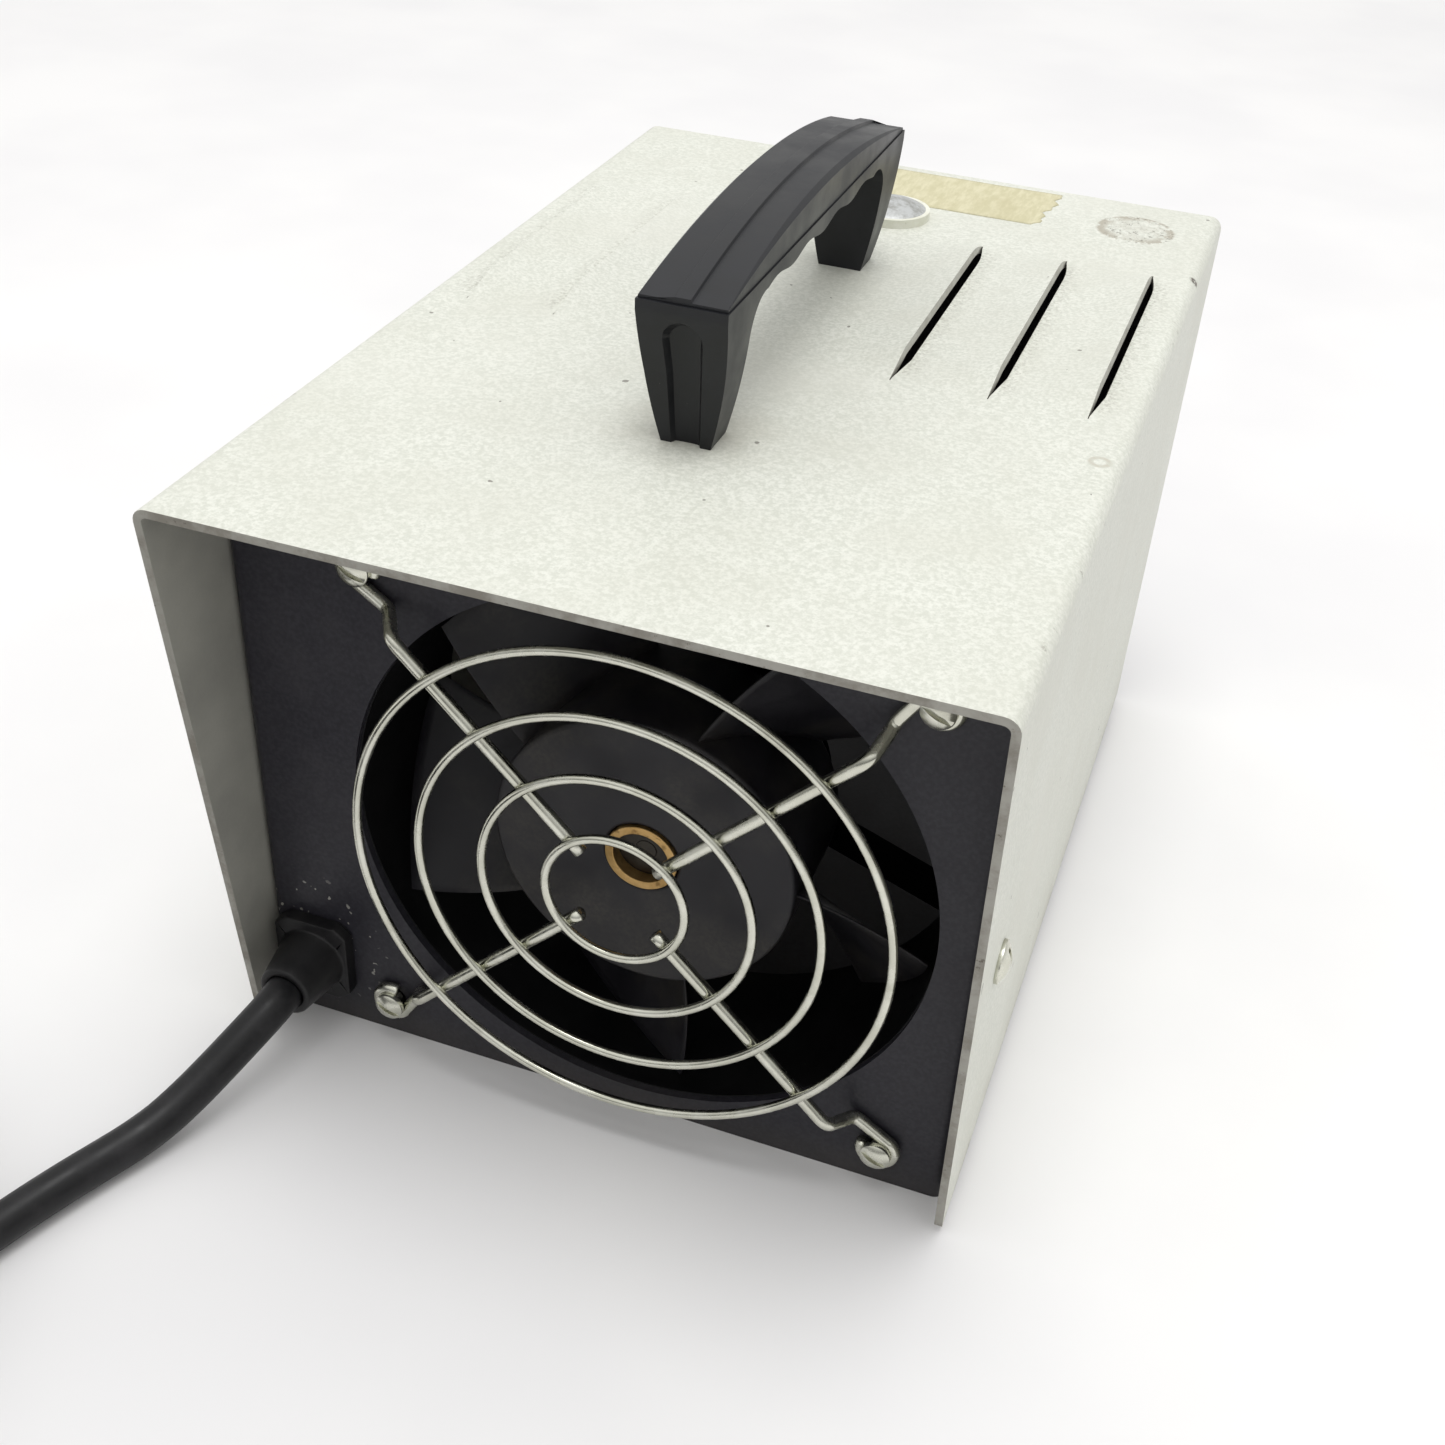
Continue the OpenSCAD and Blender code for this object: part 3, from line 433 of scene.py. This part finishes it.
def dusty_plastic():
    """The fan's black glass-filled plastic, with brown-grey dust in soft patches."""
    f = Finish("fan_plastic", 0.42)
    f.shader.inputs["Specular IOR Level"].default_value = 0.35
    fine = f.noise(0.8 * MM, 4, 0.6)
    cloud = f.noise(13 * MM, 4, 0.6)
    base = f.mix(f.band(cloud, 0.35, 0.7), srgb(28, 27, 31), srgb(38, 37, 41))
    patches = f.band(f.noise(20 * MM, 3, 0.6, shift=3.3), 0.45, 0.75)
    dust = f.both(patches, f.band(fine, 0.3, 0.7, 0.4, 1))
    base = f.mix(f.both(dust, 0.35), base, srgb(84, 80, 70))
    f.colour(base)
    f.rough(f.band(cloud, 0.3, 0.75, 0.36, 0.55))
    f.bump(fine, 0.02 * MM, 0.6)
    return f.material


def bare_metal(name, low, high, rough, spots=None):
    """Plain metal with a cloudy tarnish."""
    f = Finish(name, rough, 0.9)
    cloud = f.noise(4 * MM, 4, 0.65)
    base = f.mix(f.band(cloud, 0.35, 0.7), low, high)
    if spots:
        base = f.mix(f.band(f.noise(2 * MM, 4, 0.6, shift=1.7), 0.55, 0.7, 0, 0.8), base, spots)
    f.colour(base)
    f.rough(f.band(cloud, 0.3, 0.7, rough - 0.06, rough + 0.14))
    f.bump(f.noise(0.6 * MM, 3, 0.6), 0.01 * MM, 0.5)
    return f.material


def plain_plastic(name, low, high, rough, speck=None):
    """Light or coloured moulding with a little unevenness."""
    f = Finish(name, rough)
    cloud = f.noise(6 * MM, 4, 0.6)
    base = f.mix(f.band(cloud, 0.35, 0.7), low, high)
    if speck:
        base = f.mix(f.band(f.noise(2 * MM, 4, 0.6, shift=2.3), 0.6, 0.75, 0, 0.6), base, speck)
    f.colour(base)
    f.rough(f.band(cloud, 0.3, 0.7, rough - 0.05, rough + 0.1))
    f.bump(f.noise(0.7 * MM, 3, 0.6), 0.015 * MM, 0.5)
    return f.material


def cord_jacket():
    """Soft black jacket with dust and faint marks along it."""
    f = Finish("cord_jacket", 0.48)
    f.shader.inputs["Specular IOR Level"].default_value = 0.35
    dust = f.noise(7 * MM, 4, 0.65)
    base = f.mix(f.band(dust, 0.4, 0.75), srgb(16, 16, 18), srgb(36, 35, 37))
    f.colour(base)
    f.rough(f.band(dust, 0.3, 0.7, 0.34, 0.52))
    f.bump(f.noise(0.8 * MM, 3, 0.6), 0.03 * MM, 0.5)
    return f.material


def wound_copper():
    """Enamelled wire laid in fine turns round the core."""
    f = Finish("copper", 0.35, 0.7)
    wire = f.add("ShaderNodeTexWave", {
        "Vector": f.place, "Scale": 1 / (2.2 * MM), "Distortion": 1.5, "Detail": 1.0,
    }, wave_type="BANDS", bands_direction="Y").outputs["Fac"]
    f.colour(f.mix(wire, srgb(120, 62, 34), srgb(196, 112, 66)))
    f.bump(wire, 0.15 * MM, 0.8)
    return f.material


def laminated():
    """Stacked steel sheets, seen on edge as fine lines."""
    f = Finish("lamination", 0.5, 0.8)
    sheets = f.add("ShaderNodeTexWave", {
        "Vector": f.place, "Scale": 1 / (3.0 * MM), "Distortion": 0.4,
    }, wave_type="BANDS", bands_direction="Y").outputs["Fac"]
    f.colour(f.mix(sheets, srgb(70, 70, 74), srgb(118, 118, 122)))
    f.bump(sheets, 0.08 * MM, 0.6)
    return f.material


def old_tape():
    """Aged masking tape with fibres and soft darker patches."""
    f = Finish("tape", 0.6)
    fibre = f.noise(1.2 * MM, 4, 0.6, place=f.stretched(1, 0.25, 1))
    cloud = f.noise(9 * MM, 3, 0.6)
    base = f.mix(f.band(fibre, 0.35, 0.7), srgb(200, 194, 158), srgb(216, 210, 178))
    base = f.mix(f.band(cloud, 0.5, 0.8, 0, 0.5), base, srgb(190, 182, 144))
    f.colour(base)
    f.bump(fibre, 0.04 * MM, 0.6)
    return f.material


def silver_dome():
    """Soft silvery pad with scuffs."""
    f = Finish("bumper_silver", 0.4, 0.35)
    scuff = f.noise(2.5 * MM, 5, 0.7)
    f.colour(f.mix(f.band(scuff, 0.4, 0.7), srgb(196, 198, 198), srgb(158, 158, 154)))
    f.rough(f.band(scuff, 0.3, 0.7, 0.32, 0.55))
    f.bump(scuff, 0.04 * MM, 0.5)
    return f.material


def clear_glass():
    f = Finish("fuse_glass", 0.08)
    f.shader.inputs["Transmission Weight"].default_value = 0.9
    f.shader.inputs["IOR"].default_value = 1.5
    film = f.noise(3 * MM, 3, 0.6)
    f.colour(f.mix(film, srgb(226, 236, 236), srgb(206, 220, 220)))
    return f.material


MATERIALS = {
    "cover_paint": cover_paint(),
    "panel_paint": panel_paint(),
    "plated_steel": plated_steel(),
    "handle_plastic": moulded_black("handle_plastic", srgb(20, 21, 24), srgb(31, 32, 36), 0.4),
    "strip_plastic": moulded_black("strip_plastic", srgb(24, 25, 28), srgb(36, 37, 41), 0.38),
    "bumper_white": plain_plastic(
        "bumper_white", srgb(222, 222, 206), srgb(236, 236, 226), 0.55, srgb(170, 165, 145)),
    "bumper_silver": silver_dome(),
    "tape": old_tape(),
    # Black paint, darkened further as painted shade for the dark inside of the fan.
    "fan_casting": moulded_black(
        "fan_casting", srgb(9, 9, 10), srgb(16, 16, 17), 0.5, 1.2 * MM, 0.04 * MM, 0.2),
    "fan_plastic": dusty_plastic(),
    "lamination": laminated(),
    "copper": wound_copper(),
    "bronze": bare_metal("bronze", srgb(150, 112, 62), srgb(180, 140, 84), 0.45),
    "brass_trim": bare_metal("brass_trim", srgb(176, 142, 88), srgb(206, 172, 116), 0.34, srgb(120, 92, 54)),
    "rotor_aluminium": bare_metal("rotor_aluminium", srgb(170, 170, 172), srgb(200, 200, 202), 0.42),
    "black_nylon": moulded_black(
        "black_nylon", srgb(16, 16, 18), srgb(34, 33, 34), 0.45, 1.0 * MM, 0.05 * MM),
    "cord_jacket": cord_jacket(),
    "block_plastic": plain_plastic("block_plastic", srgb(214, 206, 184), srgb(228, 222, 204), 0.4),
    "lead_black": moulded_black("lead_black", srgb(22, 22, 24), srgb(34, 34, 36), 0.45),
    "lead_brown": plain_plastic("lead_brown", srgb(84, 54, 36), srgb(104, 70, 48), 0.45),
    "lead_green": plain_plastic("lead_green", srgb(36, 104, 58), srgb(52, 124, 72), 0.45),
    "rocker_red": plain_plastic("rocker_red", srgb(132, 18, 18), srgb(152, 28, 26), 0.3),
    "fuse_glass": clear_glass(),
    "plug_brass": bare_metal("plug_brass", srgb(186, 164, 108), srgb(206, 186, 132), 0.3),
}
CUT_EDGE = cut_edge()
# Painted shade: the motor mount gets a near-black, almost glossless finish so that its arms read as the shade
# inside the fan.
MOUNT_SHADE_BLACK = moulded_black("mount_painted_shade", srgb(5, 5, 6), srgb(9, 9, 10), 0.7, 1.2 * MM, 0.04 * MM, 0.05)
# Painted shade: the rotor cup and shaft are darkened steel, standing in for the shade in the hub's recessed
# middle.
SHADE_DARK_STEEL = bare_metal("shade_dark_steel", srgb(56, 54, 52), srgb(78, 75, 70), 0.5)
OWN_FINISH = {"rotor_cup": SHADE_DARK_STEEL, "rotor_shaft": SHADE_DARK_STEEL, "motor_mount": MOUNT_SHADE_BLACK}


def finish_with(piece, slot):
    piece.data.materials.clear()
    piece.data.materials.append(MATERIALS[slot])


def finish_cad_nodes():
    for part in frame["record"]["subparts"]:
        finish = OWN_FINISH.get(part["node"], MATERIALS[part["material_slot"]])
        for holder in NODES[part["node"]].material_slots:
            holder.material = finish


# ---------- cord ----------

CORD_D = 8 * MM
CORD_ROUTE = [
    (-63.8, -112, 15.9), (-66, -118, 13.2), (-68.5, -124, 10.2), (-71, -130, 7.5), (-73.5, -136, 5.5),
    (-76.2, -142, 4.5), (-79, -148, 4.2), (-81.6, -154, 4.2), (-84, -160, 4.2), (-86.2, -166, 4.2),
    (-88.2, -172, 4.3), (-89.9, -178, 4.5), (-91.2, -184, 4.8), (-92.1, -190, 4.8),
]
COIL_OUTER, COIL_INNER = 48 * MM, 40 * MM
COIL_END, COIL_STEP, COIL_CHANGE = 1980, 10, 24
COIL_LAYERS = [coil_low.z + CORD_D * (k + 0.5) for k in range(3)]
TAIL_LIE = coil_high.z + CORD_D / 2
# The tail's climb on to the coil: degrees round it, millimetres from its middle, millimetres above TAIL_LIE.
TAIL_CLIMB = [
    (160, 40, -7.8), (148, 40, -5.9), (136, 40, -2.4), (124, 40, -0.2), (110, 40, 0),
    (92, 40.6, 0), (74, 42, 0), (56, 44, 0), (38, 46.3, 0), (19, 48.7, 0),
]
TAIL_BEND_X = 17 * MM
TAIL_BEND_R = 33 * MM
TAIL_RISE = 7 * MM


def coil_turns(centre):
    """Clockwise turns, two side by side in three layers, each change of place over before the next
    turn's begins. Where the first turn comes round to the cord's run-in, the two overlap by up to 4 mm."""
    low, mid, high = COIL_LAYERS
    places = [
        (COIL_OUTER, low), (COIL_INNER, low), (COIL_INNER, mid),
        (COIL_OUTER, mid), (COIL_OUTER, high), (COIL_INNER, high),
    ]
    points = []
    for turned in range(0, COIL_END + 1, COIL_STEP):
        radius, z = places[0]
        for turn, (new_radius, new_z) in enumerate(places[1:]):
            starts = (360 - COIL_CHANGE) * (turn + 1)
            t = min(max((turned - starts) / COIL_CHANGE, 0), 1)
            t = t * t * (3 - 2 * t)
            radius += (new_radius - radius) * t
            z += (new_z - z) * t
        a = math.radians(-turned)
        points.append(centre + Vector((radius * math.cos(a), radius * math.sin(a), z)))
    return points


def make_cord():
    relief = middle("strain_relief")
    relief_tip = Vector((relief.x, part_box("strain_relief")[0].y, relief.z))
    coil_middle = middle("cord_coil")
    centre = Vector((coil_middle.x, coil_middle.y, 0))
    route = [relief_tip, relief_tip - Vector((0, 2 * MM, 0))]
    route += [Vector(p) * MM for p in CORD_ROUTE]
    route += coil_turns(centre)
    for degrees, radius, z in TAIL_CLIMB:
        a = math.radians(degrees)
        out = Vector((math.cos(a), math.sin(a), 0)) * radius * MM
        route.append(centre + out + Vector((0, 0, TAIL_LIE + z * MM)))
    bend_centre = centre + Vector((TAIL_BEND_X, 0, TAIL_LIE))
    for degrees in range(0, -91, -15):
        a = math.radians(degrees)
        rise = TAIL_RISE * (1 - math.cos(2 * a)) / 2
        route.append(bend_centre + Vector((TAIL_BEND_R * math.cos(a), TAIL_BEND_R * math.sin(a), rise)))
    route.append(route[-1] - Vector((2 * MM, 0, 0)))
    line = smoothed(route, 3)
    cord = tube_piece("mains_cord", [line], CORD_D / 2, "cabinet")
    finish_with(cord, "cord_jacket")
    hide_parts("power_cord", "cord_coil")


# ---------- cover ----------

SHEET = 1.6 * MM
SHEET_EDGE = 0.22 * MM
FRONT_RAKE, REAR_RAKE = 14 * MM, 18.5 * MM
BEND_R = 3 * MM
LOUVRE_RUN = 15 * MM
LOUVRE_RISE = 2.55 * MM
LIP_BACK = 0.5 * MM
SLOT_GAP = 1.0 * MM
LOUVRE_RAMP = 11 * MM


def louvre_ramp(along):
    """0 at a louvre's ends and 1 along its middle: a straight ramp in front, a rounded one behind."""
    left = max(min(along, LOUVRE_LENGTH - along), 0.0)
    ramp = min(left / LOUVRE_RAMP, 1)
    return math.sin(ramp * math.pi / 2) if along > LOUVRE_LENGTH / 2 else ramp


def top_columns():
    """Places across the top from the middle to the bend. Each has the share of a louvre's run
    there (0 at its foot, 1 at its lip), "cut" for the slot's other side, or None."""
    columns = [(0.0, None), (5.75 * MM, None)]
    steps = 9
    for line in SLOT_LINES:
        for k in range(steps + 1):
            columns.append((line - LIP_BACK - LOUVRE_RUN * (1 - k / steps), k / steps))
        columns.append((line + SLOT_GAP, "cut"))
    half = cover_high.x - BEND_R
    return columns + [(half - 2 * MM, None), (half, None)]


def cover_profile():
    """The sheet's outside from the foot of the left wall over the top to the foot of the right."""
    half = cover_high.x
    right = [(x, cover_top, tag) for x, tag in top_columns()]
    for k in range(1, 7):
        a = math.radians(90 - 15 * k)
        right.append((half - BEND_R + BEND_R * math.cos(a), cover_top - BEND_R + BEND_R * math.sin(a), None))
    for z in (122, 112, 98, 82, 66, 50, 34, 20, 10, 3.5):
        right.append((half, z * MM, None))
    right.append((half, cover_low.z, None))
    return [(-x, z, tag) for x, z, tag in reversed(right[1:])] + right


def cover_rows():
    """Places along the cover from its front edge, closer together over the louvres' ends."""
    start = LOUVRE_START - cover_low.y
    ramp = [0, 1.2, 2.6, 4.2, 6, 8, 11]
    middle_part = LOUVRE_LENGTH - 2 * LOUVRE_RAMP
    rows = [r * MM for r in (0, 1.5, 10, 26, 44, 62, 80, 94)]
    rows += [start + r * MM for r in ramp]
    rows += [start + LOUVRE_RAMP + middle_part * k / 8 for k in range(1, 8)]
    rows += [start + LOUVRE_LENGTH - r * MM for r in reversed(ramp)]
    return rows + [r * MM for r in (194, 210, 222, 226.5, 228)], start


def make_cover():
    """The bent sheet with its louvres pressed up, as one surface that is given the sheet's thickness."""
    profile = cover_profile()
    rows, start = cover_rows()
    depth = cover_high.y - cover_low.y
    drop = cover_top - cover_low.z

    points = []
    for x, z, tag in profile:
        low_y = cover_low.y + FRONT_RAKE * (cover_top - z) / drop
        high_y = cover_high.y - REAR_RAKE * (cover_top - z) / drop
        for row in rows:
            ramp = louvre_ramp(row - start)
            rise, out = 0.0, x
            if tag == "cut" and ramp < 1:
                out = x - math.copysign((SLOT_GAP + LIP_BACK) * (1 - max(ramp, 0.1)), x)
            elif tag not in (None, "cut"):
                rise = LOUVRE_RISE * ramp * tag ** 1.6
            points.append((out, low_y + (high_y - low_y) * row / depth, z + rise))

    faces = []
    for i in range(len(profile) - 1):
        over_slot = {profile[i][2], profile[i + 1][2]} == {1, "cut"}
        for j in range(len(rows) - 1):
            in_louvre = start - 1e-6 < rows[j] and rows[j + 1] < start + LOUVRE_LENGTH + 1e-6
            if not (over_slot and in_louvre):
                a = i * len(rows) + j
                faces.append((a, a + len(rows), a + len(rows) + 1, a + 1))
    cover = mesh_piece("cover_sheet", points, faces, "cabinet")
    cover.data.materials.append(MATERIALS["cover_paint"])
    cover.data.materials.append(CUT_EDGE)
    thick = cover.modifiers.new("sheet", "SOLIDIFY")
    thick.thickness = SHEET
    thick.offset = -1
    thick.use_even_offset = True
    thick.material_offset_rim = 1
    add_bevel(cover, SHEET_EDGE, 50)
    add_weighted_normals(cover)
    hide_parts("cover")


# ---------- finger guard ----------

SPOKE_D = 2.6 * MM
HOLE_PITCH = 104.8 * MM
HOOK_R = 1.75 * MM + SPOKE_D / 2 + 0.2 * MM
# One wire from its inner end: millimetres out from the axis and to its side, and its share of the way back
# to the panel.
SPOKE_OUTLINE = [
    (10.4, 0, 0), (20, 0, 0), (30, 0, 0), (40, 0, 0), (50, 0, 0), (57, 0, 0), (59.5, 0, 0), (61.2, 0.1, 0.08),
    (62.3, 0.3, 0.28), (64.2, 0.8, 0.74), (65.2, 1.2, 0.93), (66.8, 1.7, 1),
]


def make_spokes():
    """Four wires: in behind the rings, back to the panel, and round their screws in open hooks."""
    wire_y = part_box("guard_spokes")[0].y + SPOKE_D / 2
    foot_y = panel_front - SPOKE_D / 2
    corner = HOLE_PITCH / math.sqrt(2)
    routes = []
    for degrees in range(45, 360, 90):
        a = math.radians(degrees)

        def place(out, side, back):
            return axis_at + Vector((
                out * math.cos(a) - side * math.sin(a),
                wire_y + (foot_y - wire_y) * back - axis_at.y,
                out * math.sin(a) + side * math.cos(a),
            ))

        route = [place(u * MM, v * MM, back) for u, v, back in SPOKE_OUTLINE]
        for k in range(13):
            b = math.radians(115 - 22.5 * k)
            route.append(place(corner + HOOK_R * math.cos(b), HOOK_R * math.sin(b), 1))
        routes.append(smoothed(route, 5))
    spokes = tube_piece("guard_wires", routes, SPOKE_D / 2, "cabinet")
    finish_with(spokes, "plated_steel")
    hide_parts("guard_spokes")


# ---------- impeller ----------

BLADE_COUNT = 5
HUB_R, TIP_R = 29.85 * MM, 56.2 * MM
BLADE_FIRST, BLADE_LEAN, BLADE_SWEEP = 71.6, 8, 38


def blade_point(chord, span, side):
    """A point of one blade on its front (1) or back (-1), round the axis at the origin."""
    radius = HUB_R + span * (TIP_R - HUB_R)
    degrees = -(BLADE_FIRST - BLADE_LEAN * span - BLADE_SWEEP * chord)
    back = (3.4 + 25.1 * (chord + 0.22 * chord * (1 - chord))) * MM
    thick = (0.5 + 2.6 * chord * (1 - chord)) * MM
    a = math.radians(degrees) - side * 0.6 * thick / 2 / radius
    return Vector((radius * math.cos(a), back + side * thick * 0.4, -radius * math.sin(a)))


def make_blades():
    front = panel_front + SHEET
    along, out = 26, 12
    points, faces = [], []
    for blade in range(BLADE_COUNT):
        turn = Matrix.Rotation(math.radians(360 / BLADE_COUNT * blade), 3, "Y")
        first = len(points)
        for side in (1, -1):
            for i in range(along + 1):
                for j in range(out + 1):
                    place = turn @ blade_point(i / along, j / out, side)
                    points.append(Vector((axis_at.x, front, axis_at.z)) + place)

        def at(i, j, back):
            return first + back * (along + 1) * (out + 1) + i * (out + 1) + j

        for i in range(along):
            for j in range(out):
                faces.append((at(i, j, 0), at(i, j + 1, 0), at(i + 1, j + 1, 0), at(i + 1, j, 0)))
                faces.append((at(i, j, 1), at(i + 1, j, 1), at(i + 1, j + 1, 1), at(i, j + 1, 1)))
        for j in range(out):
            faces.append((at(0, j, 0), at(0, j, 1), at(0, j + 1, 1), at(0, j + 1, 0)))
            faces.append((at(along, j, 0), at(along, j + 1, 0), at(along, j + 1, 1), at(along, j, 1)))
        for i in range(along):
            faces.append((at(i, 0, 0), at(i + 1, 0, 0), at(i + 1, 0, 1), at(i, 0, 1)))
            faces.append((at(i, out, 0), at(i, out, 1), at(i + 1, out, 1), at(i + 1, out, 0)))
    blades = mesh_piece("blades", points, faces, "rotor")
    add_weighted_normals(blades)
    finish_with(blades, "fan_plastic")
    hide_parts("impeller_blades")


# ---------- tape ----------

def make_tape():
    """A strip of tape with a torn end, lying in faint wrinkles."""
    low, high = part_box("tape_strip")
    across, along = 48, 20
    points, faces = [], []
    for layer in (0, 1):
        for i in range(across + 1):
            for j in range(along + 1):
                v = j / along
                torn = 2.2 * MM * (0.5 + 0.5 * math.sin(9 * v + 1) * math.cos(23 * v)) + 2.4 * MM * (1 - v)
                x = low.x + (high.x - low.x - torn) * i / across
                y = low.y + (high.y - low.y) * v
                wave = 0.5 + 0.25 * math.sin(310 * x + 90 * y) + 0.25 * math.sin(170 * y - 210 * x + 2)
                lift = (0.08 + 0.1 * wave) * MM if layer else 0.0
                points.append((x, y, low.z + lift))
    step = along + 1
    top = (across + 1) * step
    for i in range(across):
        for j in range(along):
            a = i * step + j
            faces.append((a, a + 1, a + step + 1, a + step))
            faces.append((top + a, top + a + step, top + a + step + 1, top + a + 1))
    for i in range(across):
        for edge in (0, along):
            a = i * step + edge
            side = (a, a + step, top + a + step, top + a)
            faces.append(side if edge == 0 else side[::-1])
    for j in range(along):
        for edge in (0, across):
            a = edge * step + j
            side = (a, top + a, top + a + 1, a + 1)
            faces.append(side if edge == 0 else side[::-1])
    tape = mesh_piece("tape_sheet", points, faces, "cabinet")
    finish_with(tape, "tape")
    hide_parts("tape_strip")


# ---------- floor ----------

FLOOR_SIZE = 14


def make_floor():
    bpy.ops.mesh.primitive_plane_add(size=FLOOR_SIZE, location=(0, 0, 0))
    floor = bpy.context.object
    floor.name = "floor"
    f = Finish("floor", 0.6)
    cloud = f.noise(120 * MM, 3, 0.5)
    f.colour(f.mix(f.band(cloud, 0.3, 0.7), srgb(236, 235, 236), srgb(242, 241, 241)))
    floor.data.materials.append(f.material)


# ---------- edges of the parts that keep their shape ----------

# In millimetres. The two panels keep sharp edges, because a bevel left a seam across them.
EDGE_WIDTHS = {
    "base_tray": 0.25, "handle_body": 0.45, "handle_strip": 0.25,
    "handle_screws": 0.15, "cover_screws": 0.25, "guard_screws": 0.25, "cover_nuts": 0.2, "guard_nuts": 0.2,
    "bumper_pad": 0.4, "bumper_dome": 0.3, "fan_frame": 0.5, "motor_mount": 0.4, "stator_core": 0.2,
    "stator_windings": 1.2, "impeller_hub": 1.0, "hub_ring": 0.2, "rotor_cup": 0.3, "strain_relief": 0.8,
    "terminal_block": 0.5, "switch_body": 0.4, "rocker": 0.5, "fuse_holder": 0.4, "fuse_cap": 0.4,
    "cord_tie": 0.3, "plug_body": 1.6, "plug_blades": 0.3, "plug_ground_pin": 0.6, "shaft_bearings": 0.2,
    "rotor_cage": 0.3, "fan_terminals": 0.1,
}


def soften_cad_nodes():
    for node, width in EDGE_WIDTHS.items():
        soften(NODES[node], width * MM)


make_camera()
make_cord()
make_floor()
make_light()
finish_cad_nodes()
make_cover()
make_spokes()
make_blades()
make_tape()
soften_cad_nodes()
